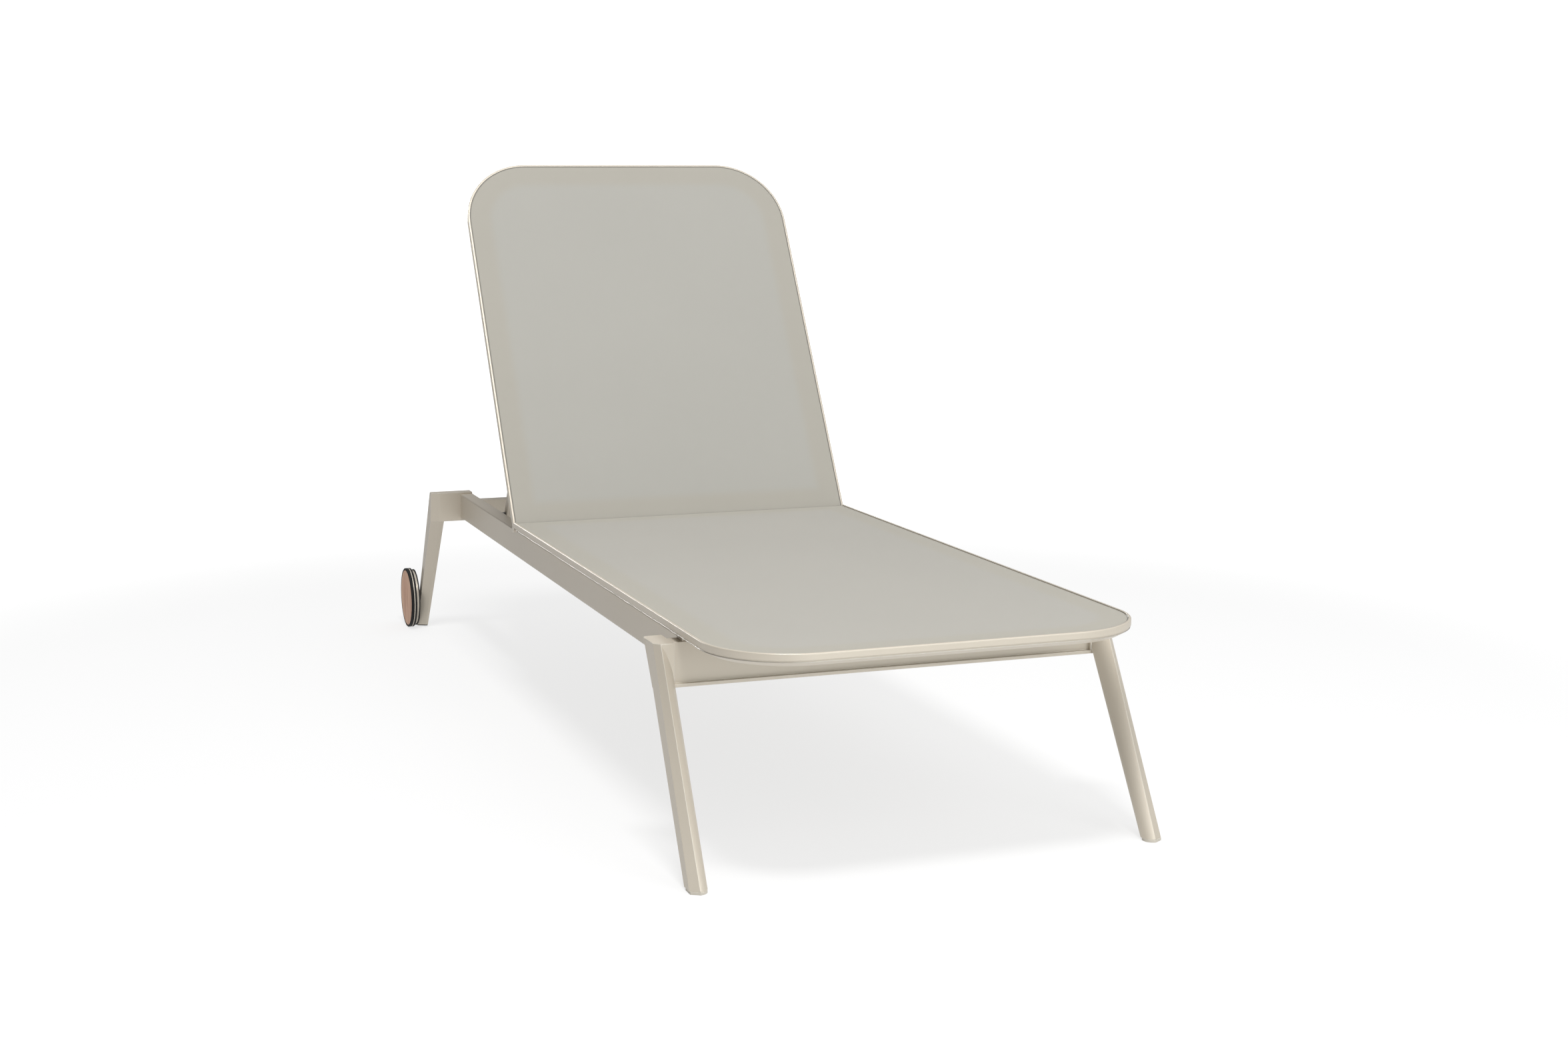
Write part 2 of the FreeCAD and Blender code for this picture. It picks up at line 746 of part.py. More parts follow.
def make_prop_mounts():
    """The lugs on the backrest's inner edges and the pins that the prop swings on."""
    lugs, pins = [], []
    for name, side in SIDES:
        low, high = span(side, LUG_INNER, MEMBER_INNER)
        block = box(f"lug_block_{name}",
                    (low, f"{PIVOT_U} - lug_length / 2", f"{PIVOT_V} - lug_skin"),
                    (high, f"{PIVOT_U} + lug_length / 2", f"{PIVOT_V} + lug_rise"))
        hole = rod(f"lug_hole_{name}", side, f"{LUG_INNER} - cut_over",
                   f"{LUG_INNER} + pivot_pin_hold + cut_over",
                   "pivot_pin_width / 2 + fit_clearance", PIVOT_U, PIVOT_V)
        lugs.append(cut(f"prop_lug_{name}", block, hole))
        face = f"({ARM_OUTER} - arm_thick - running_gap)"
        shank = rod(f"pivot_shank_{name}", side, face, f"{LUG_INNER} + pivot_pin_hold",
                    "pivot_pin_width / 2", PIVOT_U, PIVOT_V)
        head = rod(f"pivot_head_{name}", side, f"{face} - pivot_head_thick", face,
                   "pivot_head_radius", PIVOT_U, PIVOT_V)
        pins.append(fuse(f"pivot_pin_{name}", [shank, head]))
    on_back(group("lug_pair", lugs), "prop_lugs")
    on_back(group("pivot_pin_pair", pins), "prop_pivot_pins")


def make_prop():
    """The swinging prop: two flat arms, a cross bar and its sleeves."""
    sleeves = []
    for name, side in SIDES:
        low, high = span(side, f"{ARM_OUTER} - arm_thick", ARM_OUTER)
        blade = box(f"arm_blade_{name}", (low, "0", "-arm_height / 2"),
                    (high, "prop_length", "arm_height / 2"))
        eyes = [rod(f"arm_eye_{name}_{i}", side, f"{ARM_OUTER} - arm_thick", ARM_OUTER,
                    "arm_eye", y) for i, y in enumerate(("0", "prop_length"))]
        holes = [
            rod(f"arm_pin_hole_{name}", side, f"{ARM_OUTER} - arm_thick - cut_over",
                f"{ARM_OUTER} + cut_over", "pivot_pin_width / 2 + fit_clearance"),
            rod(f"arm_bar_hole_{name}", side, f"{ARM_OUTER} - arm_thick - cut_over",
                f"{ARM_OUTER} + cut_over", "bar_width / 2 + fit_clearance", "prop_length"),
        ]
        whole = fuse(f"arm_solid_{name}", [blade] + eyes)
        arm = cut(f"arm_{name}", whole, group(f"arm_holes_{name}", holes))
        on_prop(arm, f"{name}_prop_arm")
        tube = rod(f"sleeve_tube_{name}", side, ARM_OUTER, SLEEVE_REACH,
                   "sleeve_radius", "prop_length")
        inside = rod(f"sleeve_inside_{name}", side, f"{ARM_OUTER} - cut_over",
                     f"{SLEEVE_REACH} + cut_over", "bar_width / 2 + fit_clearance", "prop_length")
        sleeves.append(cut(f"sleeve_{name}", tube, inside))
    bar = rod("cross_bar", 1, f"-{BAR_REACH}", BAR_REACH, "bar_width / 2", "prop_length")
    on_prop(group("cross_bars", [bar]), "prop_cross_bar")
    on_prop(group("sleeve_pair", sleeves), "prop_sleeves")


# Base frame

RAIL_SCREW_Z = f"({RAIL_TOP} - rail_height + rail_screw_rise)"


def rail_screw_places():
    """Screws through the rails' inner walls into the spigots at both ends."""
    places = []
    for _, side in SIDES:
        for y in (f"({BEAM_REAR} + screw_inset)", "(shoulder_front - screw_inset)"):
            places.append(((mirrored(side, RAIL_INNER), y, RAIL_SCREW_Z), side))
    return places


# Where a rack's screws lie between its two end notches.
RACK_SCREW_SHARES = (0.1, 0.5, 0.9)


def rack_screw_places():
    """Screws that hold each rack to its rail."""
    near, far = bar_at("rack_steep_angle")[0], bar_at("rack_low_angle")[0]
    places = []
    for _, side in SIDES:
        for share in RACK_SCREW_SHARES:
            y = f"({near} + ({far} - {near}) * {share})"
            x = mirrored(side, f"{RAIL_INNER} - rack_thick")
            places.append(((x, y, "(rack_bottom + screw_inset / 2)"), side))
    return places


def bracket_screw_places():
    """Two screws in each hinge bracket's foot."""
    places = []
    for _, side in SIDES:
        for way in (-1, 1):
            y = f"(({way}) * bracket_foot / 4)"
            x = mirrored(side, f"{RAIL_INNER} - bracket_thick")
            places.append(((x, y, f"({HINGE_Z} - bracket_drop + screw_inset / 2)"), side))
    return places


def sideways_screws(name, places):
    """Screws along X, and the tools for their holes."""
    screws, holes = [], []
    for i, (at, side) in enumerate(places):
        direction = Vector(side, 0, 0)
        screws.append(screw(f"{name}_{i}", at, direction))
        holes.append(screw_hole(f"{name}_hole_{i}", at, direction))
    return group(f"{name}_set", screws), holes


def make_rails(seat_holes):
    """The two side rails, the spigots in them and their screws."""
    rail_set, rail_holes = sideways_screws("rail_screw", rail_screw_places())
    rack_set, rack_holes = sideways_screws("rack_screw", rack_screw_places())
    foot_set, foot_holes = sideways_screws("bracket_screw", bracket_screw_places())
    on_base(rail_set, "rail_screws")
    on_base(rack_set, "rack_screws")
    on_base(foot_set, "bracket_screws")
    side_holes = group("side_holes", rail_holes + rack_holes + foot_holes)
    spigots = []
    for name, side in SIDES:
        low, high = span(side, RAIL_INNER, RAIL_OUTER)
        tube_low, tube_high = span(side, f"{RAIL_INNER} + rail_wall", f"{RAIL_OUTER} - rail_wall")
        bottom = f"({RAIL_TOP} - rail_height)"
        edge_x = mirrored(side, RAIL_OUTER)
        body = prism(f"rail_tube_{name}", "XZ_Plane", "-shoulder_front",
                     f"shoulder_front - {BEAM_REAR}",
                     rectangle(low, bottom, high, RAIL_TOP),
                     rectangle(tube_low, f"{bottom} + rail_wall", tube_high,
                               f"{RAIL_TOP} - rail_wall"))
        round_edges(body, f"rail_round_{name}", "rail_edge", lambda edge, x=size(edge_x):
                    edge.Length > size("shoulder_front")
                    and abs(edge.CenterOfMass.x - x) < size("fit_clearance")
                    and edge.CenterOfMass.z > size(RAIL_TOP) - size("rail_wall / 2"))
        access = [bore(f"rail_access_{name}_{i}", (mirrored(side, SCREW_LINE), y, bottom), UP,
                       "access_radius", "-cut_over", "rail_wall + cut_over")
                  for i, y in enumerate(STANDOFFS)]
        tools = group(f"rail_tools_{name}", [side_holes, seat_holes] + access)
        on_base(cut(f"rail_{name}", body, tools), f"{name}_side_rail")
        fit_low, fit_high = span(side, f"{RAIL_INNER} + rail_wall + spigot_gap",
                                 f"{RAIL_OUTER} - rail_wall - spigot_gap")
        block = box(f"spigot_block_{name}",
                    (fit_low, BEAM_REAR, f"{bottom} + rail_wall + spigot_gap"),
                    (fit_high, f"{BEAM_REAR} + spigot_length",
                     f"{RAIL_TOP} - rail_wall - spigot_gap"))
        spigots.append(cut(f"spigot_{name}", block, side_holes))
    on_base(group("spigot_pair", spigots), "rail_spigots")
    return side_holes


def make_beam(seat_holes):
    """The front cross beam: a tube with a small lip along its lower front edge."""
    lip = f"({BEAM_BOTTOM} + beam_lip)"
    outer = [
        ("-node_front", BEAM_BOTTOM),
        (BEAM_REAR, BEAM_BOTTOM),
        (BEAM_REAR, BEAM_TOP),
        (BEAM_FACE, BEAM_TOP),
        (BEAM_FACE, lip),
        ("-node_front", lip),
    ]
    inner = rectangle(f"{BEAM_FACE} + beam_wall", f"{BEAM_BOTTOM} + beam_wall",
                      f"{BEAM_REAR} - beam_wall", f"{BEAM_TOP} - beam_wall")
    body = prism("beam_tube", "YZ_Plane", f"-{NODE_INNER}", f"2 * {NODE_INNER}", outer, inner)
    access = [bore(f"beam_access_{i}", (mirrored(side, BEAM_PAD_X), BEAM_PAD_Y, BEAM_BOTTOM),
                   UP, "access_radius", "-cut_over", "beam_wall + cut_over")
              for i, (_, side) in enumerate(SIDES)]
    tools = group("beam_tools", [seat_holes] + access)
    on_base(cut("beam", body, tools), "front_cross_beam")


def between(share, start, end):
    """A formula that lies a share of the way from one formula to another."""
    return f"({start} + (({end}) - ({start})) * {share})"


def rear_corner(share, inset="0"):
    """The raked leg's outer rear corner: share 0 at the node's top, 1 at the floor."""
    outer = between(share, f"{NODE_INNER} + leg_top_width",
                    f"{FOOT_INNER} + foot_width - ({inset})")
    rear = between(share, "-(node_front - leg_top_depth)",
                   f"-({FOOT_FRONT} - foot_depth) - ({inset})")
    return outer, rear


def front_section(side, share, inset="0"):
    """The raked leg's outline: a crisp front edge, two flat facets and a round inner side."""
    outer, rear = rear_corner(share, inset)
    crisp = between(share, f"{NODE_INNER} + {CRISP_IN}", f"{FOOT_INNER} + foot_width - foot_crisp")
    inner = between(share, NODE_INNER, f"{FOOT_INNER} + ({inset})")
    front = between(share, "-node_front", f"-{FOOT_FRONT} + ({inset})")
    shoulder = between(share, "-(node_front - node_chamfer)", f"-({FOOT_FRONT} - foot_crisp_step)")
    middle = between(share, "-(node_front - leg_top_turn)", f"-({FOOT_FRONT} - foot_depth / 2)")
    front_bend = between(share, "leg_top_front", f"leg_round - ({inset})")
    rear_bend = between(share, "leg_top_rear", f"leg_round - ({inset})")
    return [
        (mirrored(side, outer), shoulder),
        (mirrored(side, outer), rear),
        (mirrored(side, crisp), rear, rear_bend, side),
        (mirrored(side, inner), middle, front_bend, side),
        (mirrored(side, crisp), front),
    ]


def head_section(side, share, width, rear, bend):
    """The node's outline: an upright front, then round from the leg to its inner side."""
    leg_outer, leg_rear = rear_corner(share)
    inner = mirrored(side, NODE_INNER)
    return [
        (inner, "-node_front"),
        (mirrored(side, f"{NODE_INNER} + {CRISP_IN}"), "-node_front"),
        (mirrored(side, leg_outer), leg_rear, bend, side),
        (mirrored(side, f"{NODE_INNER} + {width}"), rear),
        (inner, rear),
    ]


def make_front_legs():
    """Cast front legs: the raked leg and the node that closes the beam's end.

    The node is widest under its flat top and draws in downwards, so the leg's outer
    facets run unbroken from the floor to the top.
    """
    glides = []
    for name, side in SIDES:
        top_share = "0"
        heel_share = f"(beam_height / {BEAM_TOP})"
        foot_share = f"(({BEAM_TOP} - glide_height) / {BEAM_TOP})"
        leg = lofted(f"front_leg_{name}", [(BEAM_TOP, front_section(side, top_share)),
                                           ("glide_height", front_section(side, foot_share))])
        head = lofted(f"front_node_{name}", [
            (BEAM_TOP, head_section(side, top_share, CRISP_IN,
                                    "-(node_front - node_depth)", "node_chamfer")),
            (BEAM_BOTTOM, head_section(side, heel_share, "node_heel", BEAM_REAR,
                                       "heel_round")),
        ])
        low, high = span(side, f"{NODE_INNER} - spigot_length", NODE_INNER)
        plug = box(f"front_plug_{name}",
                   (low, f"{BEAM_FACE} + beam_wall + spigot_gap",
                    f"{BEAM_BOTTOM} + beam_wall + spigot_gap"),
                   (high, f"{BEAM_REAR} - beam_wall - spigot_gap",
                    f"{BEAM_TOP} - beam_wall - spigot_gap"))
        relief = box(f"plug_relief_{name}",
                     (low, f"{BEAM_PAD_Y} - access_radius", BEAM_BOTTOM),
                     (high, f"{BEAM_PAD_Y} + access_radius", BEAM_TOP))
        arm = cut(f"front_arm_{name}", plug, relief)
        on_base(fuse(f"front_cast_{name}", [leg, head, arm]), f"front_{name}_leg")
        glides.append(prism(f"glide_{name}", "XY_Plane", "0", "glide_height",
                            front_section(side, "1", "glide_inset")))
    on_base(group("glide_pair", glides), "front_glides")


def rear_section(side, inner, outer, front, rear, inset="0"):
    """The rear leg's outline: a bright facet at its outer front, a soft outer rear."""
    facet_x = mirrored(side, f"{outer} - leg_facet")
    outer_x = mirrored(side, f"{outer} - ({inset})")
    inner_x = mirrored(side, f"{inner} + ({inset})")
    near, far = f"({front} + ({inset}))", f"({rear} - ({inset}))"
    return [
        (inner_x, near),
        (facet_x, near),
        (outer_x, f"{near} + leg_facet_step"),
        (outer_x, f"{far} - leg_edge", "leg_edge", side),
        (mirrored(side, f"{outer} - ({inset}) - leg_edge"), far),
        (inner_x, far),
    ]


def make_rear_legs(side_holes):
    """Cast rear legs: shoulder block, raked and splayed leg, axle boss."""
    caps = []
    foot_rear = "(leg_front_foot + leg_depth_foot)"
    for name, side in SIDES:
        rise = f"(({SHOULDER_TOP} - shoulder_bottom) / ({SHOULDER_TOP} - leg_lift))"
        knee_outer = f"({SHOULDER_OUTER} + ({LEG_OUTER_FOOT} - {SHOULDER_OUTER}) * {rise})"
        sections = [
            (SHOULDER_TOP, rear_section(side, LEG_INNER_TOP, SHOULDER_OUTER, "shoulder_front",
                                        "(shoulder_front + shoulder_depth)")),
            ("shoulder_bottom", rear_section(side, LEG_INNER_TOP, knee_outer, "shoulder_front",
                                             "(shoulder_front + leg_rear_knee)")),
            ("leg_lift", rear_section(side, LEG_INNER_FOOT, LEG_OUTER_FOOT,
                                      "leg_front_foot", foot_rear)),
        ]
        leg = lofted(f"rear_leg_{name}", sections)
        low, high = span(side, RAIL_INNER, LEG_INNER_TOP)
        block = box(f"shoulder_{name}", (low, "shoulder_front", "shoulder_bottom"),
                    (high, "shoulder_front + shoulder_depth", SHOULDER_TOP))
        fit_low, fit_high = span(side, f"{RAIL_INNER} + rail_wall + spigot_gap",
                                 f"{RAIL_OUTER} - rail_wall - spigot_gap")
        plug = box(f"rear_plug_{name}",
                   (fit_low, "shoulder_front - spigot_length",
                    f"{RAIL_TOP} - rail_height + rail_wall + spigot_gap"),
                   (fit_high, "shoulder_front", f"{RAIL_TOP} - rail_wall - spigot_gap"))
        boss = rod(f"axle_boss_{name}", side, f"{AXLE_FACE} - boss_depth", AXLE_FACE,
                   "boss_radius", "axle_back", "wheel_radius")
        web_low, web_high = span(side, f"{AXLE_FACE} - boss_depth", f"{AXLE_FACE} - leg_skin")
        web = box(f"axle_web_{name}",
                  (web_low, "axle_back - web_reach", "wheel_radius - boss_radius"),
                  (web_high, "axle_back", "wheel_radius + boss_radius"))
        hole = rod(f"axle_hole_{name}", side, f"{AXLE_FACE} - axle_reach - cut_over",
                   f"{AXLE_FACE} + cut_over", "axle_width / 2 + fit_clearance",
                   "axle_back", "wheel_radius")
        whole = fuse(f"rear_cast_{name}", [leg, block, plug, boss, web])
        tools = group(f"rear_tools_{name}", [side_holes, hole])
        on_base(cut(f"rear_leg_bored_{name}", whole, tools), f"rear_{name}_leg")
        caps.append(prism(f"leg_cap_{name}", "XY_Plane", "leg_lift - cap_height", "cap_height",
                          rear_section(side, LEG_INNER_FOOT, LEG_OUTER_FOOT,
                                       "leg_front_foot", foot_rear, "cap_inset")))
    on_base(group("leg_cap_pair", caps), "rear_leg_caps")


def make_cross_tube():
    """The rear cross tube between the two shoulders."""
    front = "shoulder_front + cross_tube_inset"
    rear = "shoulder_front + shoulder_depth - cross_tube_inset"
    bottom = "shoulder_bottom + cross_tube_inset"
    top = f"{bottom} + cross_tube_height"
    body = prism("cross_tube", "YZ_Plane", f"-{RAIL_INNER}", f"2 * {RAIL_INNER}",
                 rectangle(front, bottom, rear, top),
                 rectangle(f"{front} + cross_tube_wall", f"{bottom} + cross_tube_wall",
                           f"{rear} - cross_tube_wall", f"{top} - cross_tube_wall"))
    on_base(body, "rear_cross_tube")


def make_brackets(side_holes):
    """Hinge brackets on the rails' inner faces, with a bush in each head."""
    bushes = []
    low_z = f"({HINGE_Z} - bracket_drop)"
    shelf = f"({RAIL_TOP} - rail_wall)"
    for name, side in SIDES:
        offset = RAIL_INNER + " - bracket_thick" if side > 0 else f"-{RAIL_INNER}"
        plate = prism(f"bracket_plate_{name}", "YZ_Plane", offset, "bracket_thick", [
            ("-bracket_foot / 2", low_z),
            ("bracket_foot / 2", low_z),
            ("bracket_foot / 2", shelf),
            ("bracket_head", f"{shelf} + bracket_foot / 2 - bracket_head"),
            ("bracket_head", HINGE_Z, "bracket_head", 1),
            ("0", f"{HINGE_Z} + bracket_head", "bracket_head", 1),
            ("-bracket_head", HINGE_Z),
            ("-bracket_head", f"{shelf} + bracket_foot / 2 - bracket_head"),
            ("-bracket_foot / 2", shelf),
        ])
        seat = rod(f"bush_seat_{name}", side, f"{RAIL_INNER} - bracket_thick - cut_over",
                   f"{RAIL_INNER} + cut_over", "hinge_pin_width / 2 + bush_wall", "0", HINGE_Z)
        tools = group(f"bracket_tools_{name}", [side_holes, seat])
        on_base(cut(f"bracket_{name}", plate, tools), f"{name}_hinge_bracket")
        ring = rod(f"bush_ring_{name}", side, f"{RAIL_INNER} - bracket_thick", RAIL_INNER,
                   "hinge_pin_width / 2 + bush_wall", "0", HINGE_Z)
        inside = rod(f"bush_bore_{name}", side, f"{RAIL_INNER} - bracket_thick - cut_over",
                     f"{RAIL_INNER} + cut_over", "hinge_pin_width / 2 + fit_clearance",
                     "0", HINGE_Z)
        bushes.append(cut(f"hinge_bush_{name}", ring, inside))
    on_base(group("hinge_bush_pair", bushes), "hinge_bushes")


RACK_STOPS = 6


def make_racks(side_holes):
    """Notched racks that the prop's bar drops into, just under the sleeves' path."""
    for name, side in SIDES:
        near = bar_at("rack_steep_angle")[0]
        far = bar_at("rack_low_angle")[0]
        outline = [(f"{near} - rack_lead", "rack_bottom")]
        outline.append((f"{far} + rack_lead", "rack_bottom"))
        stops = [f"(rack_low_angle + (rack_steep_angle - rack_low_angle) * {i} / {RACK_STOPS - 1})"
                 for i in range(RACK_STOPS)]
        for angle in stops:
            reach, rise = bar_at(angle)
            tip = f"({HINGE_Z} + {rise} - sleeve_radius - rack_gap)"
            outline.append((f"{reach} + rack_lead", tip))
            outline.append((f"{reach} + sleeve_radius", tip, "notch_radius", -1))
            outline.append((f"{reach} - sleeve_radius", tip))
        outline.append((f"{near} - rack_lead", outline[-1][1]))
        offset = RAIL_INNER + " - rack_thick" if side > 0 else f"-{RAIL_INNER}"
        plate = prism(f"rack_plate_{name}", "YZ_Plane", offset, "rack_thick", outline)
        on_base(cut(f"rack_{name}", plate, side_holes), f"{name}_prop_rack")


# Wheels

POCKET_FLOOR = f"({WHEEL_OUTER} - disc_thick - hub_pocket_depth)"
CORE = "(wheel_radius - tyre_wall)"
PLATE = "(wheel_radius - inner_plate_inset)"


def make_wheels():
    """Each wheel: hub with a flange, two rubber bands, wood disc and a bush."""
    washers, clips = [], []
    for name, side in SIDES:

        def out(text, sign=side):
            return mirrored(sign, text)

        disc_back = f"({WHEEL_OUTER} - disc_thick)"
        flange_out = f"({WHEEL_OUTER} - outer_tyre_width)"
        flange_in = f"({WHEEL_OUTER} - outer_tyre_width - wheel_flange)"
        plate_out = f"({flange_in} - inner_tyre_width)"
        bush_out = "(axle_width / 2 + wheel_bush_wall)"
        hub = turned(f"hub_{name}", [[
            (out(WHEEL_INNER), bush_out),
            (out(WHEEL_INNER), PLATE),
            (out(plate_out), PLATE),
            (out(plate_out), f"{CORE} - flange_inset"),
            (out(flange_in), f"{CORE} - flange_inset"),
            (out(flange_in), "wheel_radius - flange_inset"),
            (out(flange_out), "wheel_radius - flange_inset"),
            (out(flange_out), CORE),
            (out(disc_back), CORE),
            (out(disc_back), "hub_pocket_radius"),
            (out(POCKET_FLOOR), "hub_pocket_radius"),
            (out(POCKET_FLOOR), bush_out),
        ]])
        on_axle(hub, f"{name}_wheel_hub")
        outer_band = turned(f"outer_band_{name}", [[
            (out(flange_out), CORE),
            (out(flange_out), "wheel_radius"),
            (out(f"{WHEEL_OUTER} - disc_edge"), "wheel_radius"),
            (out(WHEEL_OUTER), "wheel_radius - disc_edge"),
            (out(WHEEL_OUTER), CORE),
        ]])
        inner_band = turned(f"inner_band_{name}", [[
            (out(plate_out), f"{CORE} - flange_inset"),
            (out(plate_out), "wheel_radius - disc_edge"),
            (out(f"{plate_out} + disc_edge"), "wheel_radius"),
            (out(flange_in), "wheel_radius"),
            (out(flange_in), f"{CORE} - flange_inset"),
        ]])
        on_axle(group(f"band_pair_{name}", [outer_band, inner_band]), f"{name}_wheel_tyre")
        disc = turned(f"disc_{name}", [[
            (out(disc_back), "0"),
            (out(disc_back), f"{CORE} - disc_gap"),
            (out(f"{WHEEL_OUTER} - disc_edge"), f"{CORE} - disc_gap"),
            (out(WHEEL_OUTER), f"{CORE} - disc_gap - disc_edge"),
            (out(WHEEL_OUTER), "0"),
        ]])
        on_axle(disc, f"{name}_wheel_disc")
        tube = rod(f"wheel_bush_tube_{name}", side, WHEEL_INNER, POCKET_FLOOR, bush_out)
        inside = rod(f"wheel_bush_bore_{name}", side, f"{WHEEL_INNER} - cut_over",
                     f"{POCKET_FLOOR} + cut_over", "axle_width / 2 + fit_clearance")
        on_axle(cut(f"wheel_bush_{name}", tube, inside), f"{name}_wheel_bush")
        clip_from = f"({POCKET_FLOOR} + running_gap)"
        axle = rod(f"axle_rod_{name}", side, f"{AXLE_FACE} - axle_reach",
                   f"{clip_from} + clip_thick + axle_nose", "axle_width / 2")
        on_axle(axle, f"{name}_axle")
        for label, start, end, radius, keep in (
                ("washer", AXLE_FACE, WASHER_FACE, "wheel_radius - washer_inset", washers),
                ("clip", clip_from, f"{clip_from} + clip_thick", "clip_radius", clips)):
            plate = rod(f"{label}_plate_{name}", side, start, end, radius)
            hole = rod(f"{label}_hole_{name}", side, f"{start} - cut_over",
                       f"{end} + cut_over", "axle_width / 2 + fit_clearance")
            keep.append(cut(f"{label}_{name}", plate, hole))
    on_axle(group("washer_pair", washers), "wheel_washers")
    on_axle(group("clip_pair", clips), "axle_clips")


def main():
    seat_holes = make_seat()
    make_beam(seat_holes)
    side_holes = make_rails(seat_holes)
    make_front_legs()
    make_rear_legs(side_holes)
    make_cross_tube()
    make_brackets(side_holes)
    make_racks(side_holes)
    make_backrest()
    make_prop_mounts()
    make_prop()
    make_wheels()
    doc.recompute()
    faults = []
    for item in doc.Objects:
        if "Invalid" in item.State or "Error" in item.State:
            faults.append(f"{item.Name}: {item.State}")
    for item in NODES:
        if item.Shape.isNull() or not item.Shape.isValid() or not item.Shape.Solids:
            faults.append(f"{item.Label}: no valid solid")
    if faults:
        raise RuntimeError("; ".join(faults))
    os.makedirs("parts", exist_ok=True)
    for item in NODES:
        item.Shape.exportStep(os.path.join("parts", item.Label + ".step"))
    print(len(NODES), "nodes written")


main()
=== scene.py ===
import json
import math
import bpy
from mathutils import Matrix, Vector


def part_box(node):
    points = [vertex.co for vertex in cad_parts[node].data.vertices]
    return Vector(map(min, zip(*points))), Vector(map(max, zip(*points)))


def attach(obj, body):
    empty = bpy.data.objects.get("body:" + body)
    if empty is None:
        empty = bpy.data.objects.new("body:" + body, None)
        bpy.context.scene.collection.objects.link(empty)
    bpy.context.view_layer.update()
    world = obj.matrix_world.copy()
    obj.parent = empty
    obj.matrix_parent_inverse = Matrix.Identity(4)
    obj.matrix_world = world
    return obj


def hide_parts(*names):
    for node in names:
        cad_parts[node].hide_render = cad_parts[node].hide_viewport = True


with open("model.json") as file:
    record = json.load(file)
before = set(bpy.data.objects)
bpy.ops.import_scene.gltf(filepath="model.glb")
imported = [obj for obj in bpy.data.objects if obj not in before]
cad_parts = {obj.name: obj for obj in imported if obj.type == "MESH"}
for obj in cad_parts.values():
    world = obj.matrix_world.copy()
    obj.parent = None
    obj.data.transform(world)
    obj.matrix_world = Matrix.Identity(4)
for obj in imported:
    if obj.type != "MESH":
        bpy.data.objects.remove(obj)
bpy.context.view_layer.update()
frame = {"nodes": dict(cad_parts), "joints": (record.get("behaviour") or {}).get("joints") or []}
nodes = frame["nodes"]


# The studio
# A white floor that runs into a white room. A small key light high up beyond the foot end
# draws the soft shadow, and two broad lights in front, the low one slightly cool, brighten
# the faces that look at the camera, which stands at the photograph's place.

def wire(tree, kind, inputs=None, **settings):
    """A shader node with its settings made and its inputs linked or set."""
    made = tree.nodes.new(kind)
    for name, value in settings.items():
        setattr(made, name, value)
    for key, value in (inputs or {}).items():
        if isinstance(value, bpy.types.NodeSocket):
            tree.links.new(value, made.inputs[key])
        else:
            made.inputs[key].default_value = value
    return made


def maths(tree, operation, *values):
    """The result of one sum on sockets or numbers."""
    return wire(tree, "ShaderNodeMath", dict(enumerate(values)), operation=operation).outputs[0]


def ramp(tree, value, start, end, low, high, smooth=False):
    """A number that goes from low to high while the value goes from start to end."""
    return wire(tree, "ShaderNodeMapRange", {0: value, 1: start, 2: end, 3: low, 4: high},
                interpolation_type="SMOOTHSTEP" if smooth else "LINEAR").outputs[0]


def blended(tree, share, first, second):
    """Two numbers mixed by a share from 0 to 1."""
    return wire(tree, "ShaderNodeMix", {0: share, 2: first, 3: second}).outputs[0]


floor_half = 40.0
floor_mesh = bpy.data.meshes.new("studio_floor")
floor_mesh.from_pydata([(-floor_half, -floor_half, 0), (floor_half, -floor_half, 0),
                        (floor_half, floor_half, 0), (-floor_half, floor_half, 0)],
                       [], [(0, 1, 2, 3)])
floor = bpy.data.objects.new("studio_floor", floor_mesh)
bpy.context.scene.collection.objects.link(floor)
floor_paint = bpy.data.materials.new("studio_floor")
floor_paint.use_nodes = True
floor_tree = floor_paint.node_tree
floor_shader = floor_tree.nodes["Principled BSDF"]
floor_shader.inputs["Base Color"].default_value = (0.25, 0.25, 0.25, 1)
floor_shader.inputs["Roughness"].default_value = 1.0
floor_shader.inputs["Specular IOR Level"].default_value = 0.0
floor_shader.inputs["Emission Color"].default_value = (1, 1, 1, 1)

# The camera sees a floor just under white round the lounger, so that the shadow shows,
# and a white one further out.
near_glow = 0.72
far_glow = 1.05
fade_start = 1.5
fade_end = 3.3
floor_spot = wire(floor_tree, "ShaderNodeTexCoord").outputs["Object"]
floor_reach = wire(floor_tree, "ShaderNodeVectorMath", {0: floor_spot}, operation="LENGTH")
floor_glow = ramp(floor_tree, floor_reach.outputs["Value"], fade_start, fade_end,
                  near_glow, far_glow, smooth=True)

# The lounger is lit by a floor that is brighter at the foot end than at the head end.
foot_bounce = 0.68
head_bounce = 0.54
bounce_reach = 1.2
floor_along = wire(floor_tree, "ShaderNodeSeparateXYZ", {0: floor_spot}).outputs["Y"]
floor_bounce = ramp(floor_tree, floor_along, -bounce_reach, bounce_reach,
                    foot_bounce, head_bounce)
floor_seen = wire(floor_tree, "ShaderNodeLightPath").outputs["Is Camera Ray"]
floor_tree.links.new(blended(floor_tree, floor_seen, floor_bounce, floor_glow),
                     floor_shader.inputs["Emission Strength"])
floor_mesh.materials.append(floor_paint)

